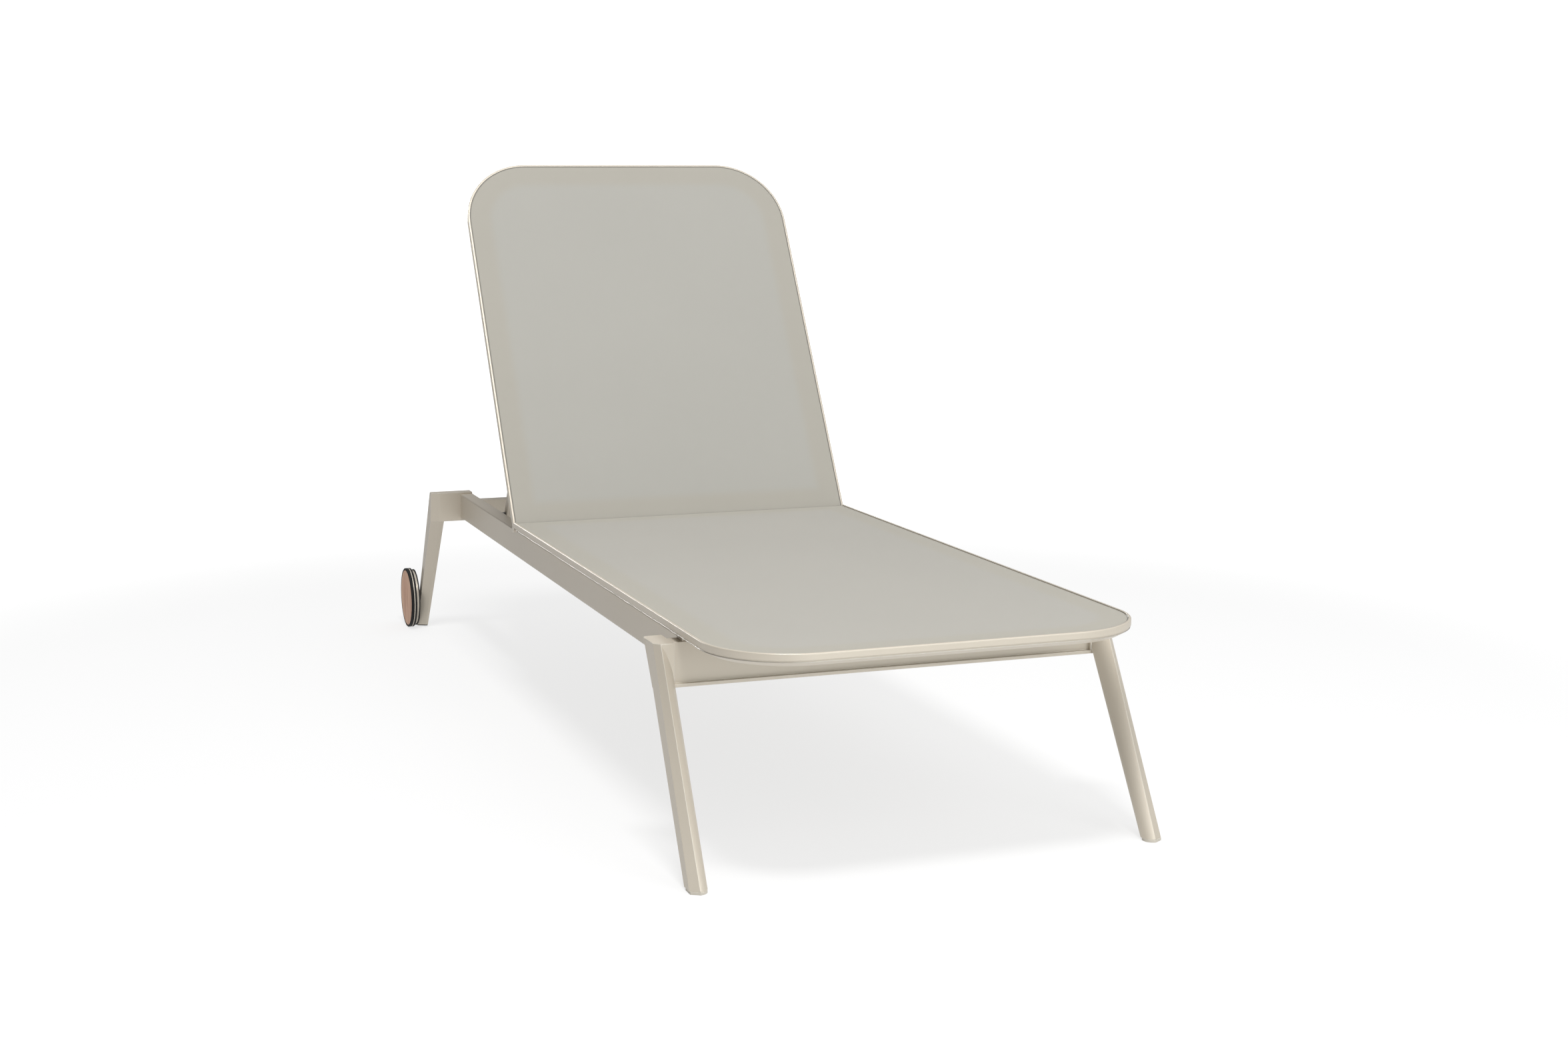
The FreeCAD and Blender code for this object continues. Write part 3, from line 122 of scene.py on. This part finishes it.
# The room's light is strong overhead and weak on the left. The camera sees it plain white.
room = bpy.data.worlds.new("studio_room")
room.use_nodes = True
room_tree = room.node_tree
toward = wire(room_tree, "ShaderNodeSeparateXYZ", {
    0: wire(room_tree, "ShaderNodeTexCoord").outputs["Generated"]}).outputs
ceiling = ramp(room_tree, toward["Z"], 0.0, 1.0, 0.1, 1.05)
right_side = ramp(room_tree, toward["X"], -0.8, 0.3, 0.2, 1.0)
room_light = maths(room_tree, "MULTIPLY", ceiling, right_side)
room_seen = wire(room_tree, "ShaderNodeLightPath").outputs["Is Camera Ray"]
plain = wire(room_tree, "ShaderNodeBackground", {"Color": (1, 1, 1, 1), "Strength": 1.2})
glow = wire(room_tree, "ShaderNodeBackground", {"Color": (1, 1, 1, 1), "Strength": room_light})
both = wire(room_tree, "ShaderNodeMixShader", {0: room_seen, 1: glow.outputs[0],
                                               2: plain.outputs[0]})
room_tree.links.new(both.outputs[0], room_tree.nodes["World Output"].inputs["Surface"])
bpy.context.scene.world = room
bpy.context.scene.view_settings.view_transform = "Standard"

lounger_middle = Vector((0.0, -0.1, 0.3))


def softbox(name, place, size, power):
    """A rectangular area light at a place, turned to the middle of the lounger."""
    lamp = bpy.data.lights.new(name, "AREA")
    lamp.shape = "RECTANGLE"
    lamp.size, lamp.size_y = size
    lamp.energy = power
    item = bpy.data.objects.new(name, lamp)
    item.location = place
    item.rotation_euler = (lounger_middle - Vector(place)).to_track_quat("-Z", "Y").to_euler()
    item.visible_camera = False
    bpy.context.scene.collection.objects.link(item)
    return item


softbox("key_light", (-0.8, -2.4, 5.4), size=(1.3, 1.0), power=196)
softbox("fill_light", (1.6, -3.9, 2.6), size=(2.4, 2.0), power=28)
low_light = softbox("low_light", (0.5, -4.0, 0.8), size=(2.2, 0.9), power=26)
low_light.data.color = (0.92, 0.98, 1.0)

# A strip behind the lounger that only the panels' raised rims reflect, so that they
# show as thin bright lines round the fabric.
rims = bpy.data.collections.new("panel_rims")
for name in ("seat_frame", "back_frame"):
    rims.objects.link(nodes[name])
rim_strip = softbox("rim_strip", (-0.6, 5.2, 1.5), size=(4.6, 0.7), power=130)
rim_strip.visible_diffuse = False
rim_strip.light_linking.receiver_collection = rims

# The camera stands to the left of the foot end, tilted down and turned to the right by
# these degrees.
camera_tilt = 9.010
camera_turn = 20.114
lens = bpy.data.cameras.new("camera")
lens.lens = 51.106
lens.sensor_width = 36.0
lens.clip_end = 200.0
camera = bpy.data.objects.new("camera", lens)
camera.location = (-1.2814, -3.85627, 1.0034)
camera.rotation_euler = (math.radians(90 - camera_tilt), 0, math.radians(-camera_turn))
bpy.context.scene.collection.objects.link(camera)
bpy.context.scene.camera = camera


# Powder-coated frame
# Aluminium extrusions and castings in one sand-beige powder coat, baked on before the
# pieces are screwed together: a satin skin with a little metal in it, a fine orange peel
# and soft edges.

def tone(red, green, blue):
    """A colour read off a chart from 0 to 255, as the linear values a shader takes."""
    def linear(value):
        share = value / 255
        return share / 12.92 if share <= 0.04045 else ((share + 0.055) / 1.055) ** 2.4
    return (linear(red), linear(green), linear(blue), 1.0)


def mixed(tree, share, first, second):
    """Two colours mixed by a share from 0 to 1."""
    made = wire(tree, "ShaderNodeMix", {0: share, 6: first, 7: second}, data_type="RGBA")
    return made.outputs[2]


def effect(name, inputs, outputs):
    """A new shader node group with named sockets: its tree, inputs and outputs."""
    tree = bpy.data.node_groups.new(name, "ShaderNodeTree")
    for label, value in inputs.items():
        kind = "NodeSocketColor" if isinstance(value, tuple) else "NodeSocketFloat"
        socket = tree.interface.new_socket(label, in_out="INPUT", socket_type=kind)
        socket.default_value = value
    for label, kind in outputs.items():
        tree.interface.new_socket(label, in_out="OUTPUT", socket_type=kind)
    start = tree.nodes.new("NodeGroupInput").outputs
    end = tree.nodes.new("NodeGroupOutput").inputs
    return tree, start, end


def painted(name):
    """A new material with its tree and its Principled shader."""
    material = bpy.data.materials.new(name)
    material.use_nodes = True
    tree = material.node_tree
    return material, tree, tree.nodes["Principled BSDF"]


# Skin: a grain of small round bumps and slow drifts of tone, shared by paint, metal,
# plastic, rubber and fabric, each with its own size and strength.
skin, skin_in, skin_out = effect(
    "skin", {"Colour": (0.5, 0.5, 0.5, 1.0), "Grain": 900.0, "Drift": 0.03},
    {"Colour": "NodeSocketColor", "Height": "NodeSocketFloat", "Mottle": "NodeSocketFloat"})
skin_spot = wire(skin, "ShaderNodeTexCoord").outputs["Object"]
peel = wire(skin, "ShaderNodeTexNoise", {"Vector": skin_spot, "Scale": skin_in["Grain"],
                                         "Detail": 2.0, "Roughness": 0.5})
cloud = wire(skin, "ShaderNodeTexNoise", {"Vector": skin_spot, "Scale": 4.0, "Detail": 3.0})
swing = maths(skin, "SUBTRACT", cloud.outputs["Fac"], 0.5)
lift = maths(skin, "MULTIPLY_ADD", swing, skin_in["Drift"], 1.0)
shade = wire(skin, "ShaderNodeHueSaturation", {"Color": skin_in["Colour"], "Value": lift})
skin.links.new(shade.outputs[0], skin_out["Colour"])
skin.links.new(peel.outputs["Fac"], skin_out["Height"])
skin.links.new(cloud.outputs["Fac"], skin_out["Mottle"])

# Edge highlight: a painted highlight, a lighter colour along every edge of the piece, which is
# also made smoother there. The mask is the turn between the flat face and the slightly rounded
# edge, broken up a little.
slight_turn = 0.99
full_turn = 0.78
least_highlight = 0.7
highlight_swing = 0.6
edge_highlight, edge_highlight_in, edge_highlight_out = effect(
    "edge_highlight", {"Radius": 0.001, "Highlight": 0.5},
    {"Mask": "NodeSocketFloat", "Normal": "NodeSocketVector"})
eased = wire(edge_highlight, "ShaderNodeBevel", {"Radius": edge_highlight_in["Radius"]}, samples=8).outputs[0]
flat = wire(edge_highlight, "ShaderNodeNewGeometry").outputs["True Normal"]
facing = wire(edge_highlight, "ShaderNodeVectorMath", {0: eased, 1: flat}, operation="DOT_PRODUCT")
turned = ramp(edge_highlight, facing.outputs["Value"], slight_turn, full_turn, 0.0, 1.0)
highlight_noise = wire(edge_highlight, "ShaderNodeTexNoise", {
    "Vector": wire(edge_highlight, "ShaderNodeTexCoord").outputs["Object"], "Scale": 35.0, "Detail": 2.0})
highlight_breakup = maths(edge_highlight, "MULTIPLY_ADD", highlight_noise.outputs["Fac"], highlight_swing, least_highlight)
edge_highlight_share = maths(edge_highlight, "MULTIPLY", turned, highlight_breakup)
edge_highlight.links.new(maths(edge_highlight, "MULTIPLY", edge_highlight_share, edge_highlight_in["Highlight"]), edge_highlight_out["Mask"])
edge_highlight.links.new(eased, edge_highlight_out["Normal"])


def finish_of(slot, colour, grain, depth, rough, edge, highlight_colour, wear, metal=0.0):
    """A material with the shared skin and a painted highlight along its edges.

    Grain is how fine the skin's bumps are and depth how high, in metres. Edge is the
    radius of the soft edges, and highlight_colour the lighter colour painted along them as a
    highlight.
    """
    rough_swing = 0.08
    edge_polish = 0.15
    material, tree, shader = painted(slot)
    coat = wire(tree, "ShaderNodeGroup", {"Colour": colour, "Grain": grain, "Drift": 0.03},
                node_tree=skin)
    rim = wire(tree, "ShaderNodeGroup", {"Radius": edge, "Highlight": wear}, node_tree=edge_highlight)
    # Painted highlight: the edge mask mixes the lighter edge colour into the coat along every
    # edge.
    tree.links.new(mixed(tree, rim.outputs["Mask"], coat.outputs["Colour"], highlight_colour),
                   shader.inputs["Base Color"])
    soft = maths(tree, "MULTIPLY_ADD", coat.outputs["Mottle"], rough_swing,
                 rough - rough_swing / 2)
    polished = maths(tree, "MULTIPLY_ADD", rim.outputs["Mask"], -edge_polish, soft)
    tree.links.new(polished, shader.inputs["Roughness"])
    bump = wire(tree, "ShaderNodeBump", {"Height": coat.outputs["Height"],
                                         "Distance": depth, "Strength": 0.6,
                                         "Normal": rim.outputs["Normal"]})
    tree.links.new(bump.outputs[0], shader.inputs["Normal"])
    shader.inputs["Metallic"].default_value = metal
    return material


def dress(slot, material):
    """Gives a material to every CAD node of its slot."""
    for node in nodes.values():
        for place in node.material_slots:
            if place.material and place.material.name.split(".")[0] == slot:
                place.material = material


# The lighter edge colour given here is a painted highlight along every edge.
dress("frame_paint", finish_of(
    "frame_paint", tone(203, 194, 179), grain=700.0, depth=0.00004, rough=0.38,
    edge=0.0012, highlight_colour=tone(250, 247, 240), wear=0.9, metal=0.22))


# Spigots, screws and pins
# The bare cast spigots that the side rails are pushed onto, and the bright stainless
# screws, pins, axles and cross bar that hold and carry the moving pieces.

# The lighter edge colours given here are painted highlights along the edges.
dress("raw_aluminium", finish_of(
    "raw_aluminium", tone(190, 190, 188), grain=1500.0, depth=0.00002, rough=0.35,
    edge=0.0005, highlight_colour=tone(225, 225, 223), wear=0.5, metal=1.0))
dress("screw_steel", finish_of(
    "screw_steel", tone(196, 195, 192), grain=2500.0, depth=0.00001, rough=0.25,
    edge=0.0004, highlight_colour=tone(230, 230, 228), wear=0.5, metal=1.0))


# Plastic and rubber fittings
# Moulded caps, washers, bushes, sleeves and glides, the cords that lock the fabric in its
# slot, and the rubber bands stretched over the wheels' hubs.

# The lighter edge colours given here are painted highlights along the edges.
dress("black_plastic", finish_of(
    "black_plastic", tone(24, 23, 22), grain=1800.0, depth=0.00005, rough=0.55,
    edge=0.0005, highlight_colour=tone(60, 59, 57), wear=0.4))
dress("bush_plastic", finish_of(
    "bush_plastic", tone(79, 78, 76), grain=1500.0, depth=0.00002, rough=0.4,
    edge=0.0003, highlight_colour=tone(120, 119, 116), wear=0.4))
dress("pale_nylon", finish_of(
    "pale_nylon", tone(198, 191, 178), grain=1500.0, depth=0.00004, rough=0.5,
    edge=0.0008, highlight_colour=tone(228, 223, 212), wear=0.4))
dress("black_rubber", finish_of(
    "black_rubber", tone(8, 7, 7), grain=1400.0, depth=0.00008, rough=0.75,
    edge=0.0006, highlight_colour=tone(28, 26, 25), wear=0.4))


# Seat fabric
# Coated polyester mesh, pulled tight over the seat's edge profile and locked in its slot.
# It turns down inside the raised rim, and hangs over the rail at the crease.

# The edge profile is one member bent round the panel, with a raised rim along its outside.
# The cloth fills the inside of that rim, with a little clearance.
cloth_thick = 0.0011
cloth_gap = 0.0003
panel_half = 0.335
rim_width = 0.004
corner_outer = 0.132
member_width = 0.045
cloth_half = panel_half - rim_width - cloth_gap
cloth_corner = corner_outer - rim_width - cloth_gap

# Weave: round threads over and under each other. It puts out their height, which of the
# two sets lies on top, and the small holes between them.
under_share = 0.5
hole_depth = 0.12
weave, weave_in, weave_out = effect(
    "weave", {"Pitch": 0.0012},
    {"Height": "NodeSocketFloat", "Thread": "NodeSocketFloat", "Hole": "NodeSocketFloat"})
weave_spot = wire(weave, "ShaderNodeSeparateXYZ",
                  {0: wire(weave, "ShaderNodeTexCoord").outputs["UV"]}).outputs
counts = [maths(weave, "DIVIDE", weave_spot[axis], weave_in["Pitch"]) for axis in (0, 1)]
angles = [maths(weave, "MULTIPLY", count, math.pi) for count in counts]
warp, weft = [maths(weave, "ABSOLUTE", maths(weave, "SINE", angle)) for angle in angles]
check = wire(weave, "ShaderNodeTexChecker", {"Scale": 1.0, "Vector": wire(
    weave, "ShaderNodeCombineXYZ", {0: counts[0], 1: counts[1], 2: 0.5}).outputs[0]})
warp_up = maths(weave, "MULTIPLY_ADD", weft, under_share, warp)
weft_up = maths(weave, "MULTIPLY_ADD", warp, under_share, weft)
weave.links.new(blended(weave, check.outputs["Fac"], warp_up, weft_up), weave_out["Height"])
weave.links.new(check.outputs["Fac"], weave_out["Thread"])
crossing = maths(weave, "MULTIPLY", warp, weft)
weave.links.new(maths(weave, "LESS_THAN", crossing, hole_depth), weave_out["Hole"])

# Border: how near a spot of the panel lies to its outline, as a soft band that follows
# the round corners. Width runs along the cloth's first axis, length along its second.
border, border_in, border_out = effect(
    "border", {"Half Width": 0.33, "Length": 0.8, "Corner": 0.128, "Band": 0.043,
               "Softness": 0.02},
    {"Band": "NodeSocketFloat", "Distance": "NodeSocketFloat"})
panel_spot = wire(border, "ShaderNodeSeparateXYZ",
                  {0: wire(border, "ShaderNodeTexCoord").outputs["UV"]}).outputs
side_in = maths(border, "SUBTRACT", border_in["Half Width"],
                maths(border, "ABSOLUTE", panel_spot[0]))
end_in = maths(border, "SUBTRACT", border_in["Length"], panel_spot[1])
past_side, past_end = [
    maths(border, "MAXIMUM", maths(border, "SUBTRACT", border_in["Corner"], gap), 0.0)
    for gap in (side_in, end_in)]
round_gap = maths(border, "SQRT", maths(border, "ADD", maths(border, "POWER", past_side, 2.0),
                                        maths(border, "POWER", past_end, 2.0)))
inside = maths(border, "MINIMUM", maths(border, "SUBTRACT", side_in, border_in["Corner"]),
               maths(border, "SUBTRACT", end_in, border_in["Corner"]))
inside = maths(border, "MAXIMUM", inside, 0.0)
to_edge = maths(border, "ADD", maths(border, "SUBTRACT", border_in["Corner"], round_gap), inside)
to_edge = maths(border, "MINIMUM", to_edge, panel_spot[1])
half_soft = maths(border, "MULTIPLY", border_in["Softness"], 0.5)
band = ramp(border, to_edge, maths(border, "SUBTRACT", border_in["Band"], half_soft),
            maths(border, "ADD", border_in["Band"], half_soft), 1.0, 0.0, smooth=True)
border.links.new(band, border_out["Band"])
border.links.new(to_edge, border_out["Distance"])


def fabric_finish(name, length, middle, edge):
    """The fabric's material, with its tone over the opening and over the profile, and painted
    shade along its edge and at the crease.
    """
    thread_swing = 0.05
    hole_share = 0.35
    tuck_start = 0.0006
    tuck_end = 0.0028
    tuck_shade = 0.45
    material, tree, shader = painted(name)
    cloth = wire(tree, "ShaderNodeGroup", {}, node_tree=weave)
    hem = wire(tree, "ShaderNodeGroup", {"Half Width": cloth_half, "Length": length,
                                         "Corner": cloth_corner}, node_tree=border)
    ground = mixed(tree, hem.outputs["Band"], middle, edge)
    slow = wire(tree, "ShaderNodeGroup", {"Colour": ground, "Grain": 2600.0, "Drift": 0.05},
                node_tree=skin)
    lighter = maths(tree, "MULTIPLY_ADD", cloth.outputs["Thread"], thread_swing,
                    1.0 - thread_swing / 2)
    threads = wire(tree, "ShaderNodeHueSaturation", {"Color": slow.outputs["Colour"],
                                                     "Value": lighter})
    holes = mixed(tree, maths(tree, "MULTIPLY", cloth.outputs["Hole"], hole_share),
                  threads.outputs[0], tone(120, 115, 106))
    # Painted shade: the cloth is darker within a few millimetres of its edge, where it turns
    # down inside the rim, and over the crease.
    painted_edge_shade = ramp(tree, hem.outputs["Distance"], tuck_start, tuck_end, tuck_shade, 1.0)
    shaded = wire(tree, "ShaderNodeHueSaturation", {"Color": holes, "Value": painted_edge_shade})
    tree.links.new(shaded.outputs[0], shader.inputs["Base Color"])
    bump = wire(tree, "ShaderNodeBump", {"Height": cloth.outputs["Height"],
                                         "Distance": 0.00018, "Strength": 0.35})
    tree.links.new(bump.outputs[0], shader.inputs["Normal"])
    shader.inputs["Roughness"].default_value = 0.72
    shader.inputs["Sheen Weight"].default_value = 0.12
    shader.inputs["Sheen Roughness"].default_value = 0.5
    return material


# Steps of the mesh in metres from the cloth's edges and from the crease, and how many
# columns and rows fill the middle and the round corners.
edge_steps = (0, 0.0004, 0.0009, 0.0016, 0.0026, 0.005, 0.012, 0.024, 0.036, 0.0405, 0.046)
crease_steps = (0.0008, 0.003, 0.01, 0.022, 0.034, 0.043, 0.05)
middle_columns = 22
middle_rows = 26
corner_rows = 30

# The radius of the turned-down edge, how soon the dip reaches its full depth along the
# panel, and half the width of the flap at the crease, which fits between the members.
turned_edge = 0.0016
dip_spread = 1.6
wrap_half = 0.289


def cloth_columns(half):
    """Places across a row of the cloth, close together at both edges."""
    right = [half - step for step in edge_steps]
    inner = right[-1]
    middle = [inner - 2 * inner * i / middle_columns for i in range(1, middle_columns)]
    return right + middle + [-value for value in reversed(right)]


def cloth_rows(length):
    """Places along the cloth, close together at the crease and round the far corners."""
    near = crease_steps[-1]
    far = length - cloth_corner
    middle = [near + (far - near) * i / middle_rows for i in range(1, middle_rows)]
    corners = [far + cloth_corner * math.sin(math.pi / 2 * i / corner_rows)
               for i in range(corner_rows + 1)]
    return list(crease_steps) + middle + corners


def edge_gap(across, along, length):
    """How far a point lies inside the cloth's outline, round corners at the far end."""
    side = cloth_half - abs(across)
    end = length - along
    if side < cloth_corner and end < cloth_corner:
        return cloth_corner - math.hypot(cloth_corner - side, cloth_corner - end)
    return min(side, end)


def cloth_height(across, along, length, dip):
    """Height of the cloth against its flat border: a turned-down edge and a slight dip."""
    drop = 0.0
    gap = edge_gap(across, along, length)
    if gap < turned_edge:
        drop = turned_edge - math.sqrt(max(turned_edge ** 2 - (turned_edge - gap) ** 2, 0.0))
    dip_across = max(0.0, 1 - (across / (cloth_half - member_width)) ** 2)
    share = (along - member_width) / (length - 2 * member_width)
    dip_along = min(1.0, 4 * share * (1 - share) * dip_spread) if 0 < share < 1 else 0.0
    return -drop - dip * dip_across * dip_along


def rolled(radius, turn, steps):
    """Wrap points of cloth rolled round an edge, up to the crease."""
    turns = [turn * (1 - i / steps) for i in range(steps + 1)]
    return [(-radius * math.sin(angle), radius * math.cos(angle) - radius, -radius * angle)
            for angle in turns]


def cloth_sheet(name, length, wrap, place, dip):
    """A sheet with round far corners; wrap lists the points past its near end.

    place turns (across, along, height) on the flat panel into the place on the lounger.
    A wrap point is (along, height, run), where run is measured on the cloth.
    """
    rows = wrap + [(along, None, along) for along in cloth_rows(length)]
    vertices, uvs, kept = [], [], []
    for along, height, run in rows:
        bend = max(0.0, along - (length - cloth_corner))
        half = cloth_half - cloth_corner + math.sqrt(max(cloth_corner ** 2 - bend ** 2, 0.0))
        for across in cloth_columns(half):
            level = cloth_height(across, along, length, dip) if height is None else height
            vertices.append(place(across, along, level))
            uvs.append((across, run))
            kept.append(height is None or abs(across) <= wrap_half)
    width = len(cloth_columns(cloth_half))
    faces = []
    for row in range(len(rows) - 1):
        for column in range(width - 1):
            first = row * width + column
            corners = (first, first + 1, first + width + 1, first + width)
            if all(kept[corner] for corner in corners):
                faces.append(corners)
    mesh = bpy.data.meshes.new(name)
    mesh.from_pydata(vertices, [], faces)
    layer = mesh.uv_layers.new(name="UVMap")
    for loop in mesh.loops:
        layer.data[loop.index].uv = uvs[loop.vertex_index]
    for face in mesh.polygons:
        face.use_smooth = True
    piece = bpy.data.objects.new(name, mesh)
    bpy.context.scene.collection.objects.link(piece)
    solid = piece.modifiers.new("thickness", "SOLIDIFY")
    solid.thickness = cloth_thick
    solid.offset = -1.0
    return piece


seat_low, seat_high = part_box("seat_sling")
seat_rear = seat_high.y
seat_top = seat_low.z + cloth_thick
seat_length = seat_high.y - seat_low.y

# At the crease the cloth rolls over the rail with this radius and hangs down by the tuck,
# with one row of the mesh part way down.
seat_roll = 0.002
seat_tuck = 0.012
tuck_middle = 0.007


def on_seat(across, along, level):
    """The place on the lounger of a point of the seat's flat panel."""
    return (across, seat_rear - along, seat_top + level)


seat_wrap = [(-seat_roll, -seat_tuck, -seat_tuck), (-seat_roll, -tuck_middle, -tuck_middle)]
seat_wrap += rolled(seat_roll, math.pi / 2, steps=6)
seat_cloth = cloth_sheet("seat_fabric", seat_length, seat_wrap, on_seat, dip=0.0022)
seat_cloth.data.materials.append(fabric_finish(
    "seat_fabric", seat_length, middle=tone(175, 172, 164), edge=tone(174, 170, 159)))
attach(seat_cloth, "base")
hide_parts("seat_sling")


# Backrest fabric
# The same mesh on the backrest's edge profile. At the crease it goes half way round the
# nose of the lower rail, so that no gap opens there while the backrest tilts.

hinge = next(joint for joint in frame["joints"] if joint["name"] == "backrest_recline")
hinge_y, hinge_z = hinge["pos_m"][1:]
recline = math.radians(-hinge["range_deg"][0])

# The cloth goes round the nose, whose centre is the hinge line, and the tuck is its length
# there. The reach is the panel's length from the hinge line to its top edge.
recess = 0.0075
nose = recess + cloth_thick
back_reach = 0.7865
back_length = back_reach - rim_width - cloth_gap


def on_back(across, along, level):
    """The place on the lounger of a point of the backrest's flat panel."""
    lift = nose + level
    return (across, hinge_y + along * math.cos(recline) - lift * math.sin(recline),
            hinge_z + along * math.sin(recline) + lift * math.cos(recline))


back_wrap = rolled(nose, math.pi, steps=12)
back_cloth = cloth_sheet("back_fabric", back_length, back_wrap, on_back, dip=0.0024)
# The backrest's cloth is the seat's fabric in a slightly darker tone: painted shade.
back_cloth.data.materials.append(fabric_finish(
    "back_fabric", back_length, middle=tone(168, 166, 159), edge=tone(167, 163, 153)))
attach(back_cloth, "backrest")
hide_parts("back_sling")


# Wheel discs
# A flat turned disc of oiled teak let into the face of each wheel, its straight grain
# standing upright at rest.

def teak_finish():
    """Oiled teak: pale and brown streaks along the grain, with fine dark pores."""
    pore_share = 0.3
    material, tree, shader = painted("teak")
    disc_spot = wire(tree, "ShaderNodeTexCoord").outputs["Object"]
    drawn_out = wire(tree, "ShaderNodeMapping", {"Vector": disc_spot, "Scale": (1.0, 60.0, 5.0)})
    streak = wire(tree, "ShaderNodeTexNoise", {"Vector": drawn_out.outputs[0], "Scale": 2.0,
                                               "Detail": 6.0, "Roughness": 0.65,
                                               "Distortion": 0.6})
    fine = wire(tree, "ShaderNodeMapping", {"Vector": disc_spot, "Scale": (1.0, 900.0, 30.0)})
    pore = wire(tree, "ShaderNodeTexNoise", {"Vector": fine.outputs[0], "Scale": 2.0,
                                             "Detail": 3.0})
    browns = wire(tree, "ShaderNodeValToRGB", {0: streak.outputs["Fac"]})
    brown, pale = browns.color_ramp.elements
    brown.position = 0.3
    brown.color = tone(196, 134, 98)
    pale.position = 0.72
    pale.color = tone(252, 212, 178)
    dark = mixed(tree, maths(tree, "MULTIPLY", pore.outputs["Fac"], pore_share),
                 browns.outputs[0], tone(150, 98, 68))
    tree.links.new(dark, shader.inputs["Base Color"])
    shader.inputs["Roughness"].default_value = 0.5
    bump = wire(tree, "ShaderNodeBump", {"Height": pore.outputs["Fac"], "Distance": 0.00012,
                                         "Strength": 0.5})
    tree.links.new(bump.outputs[0], shader.inputs["Normal"])
    return material


dress("teak", teak_finish())
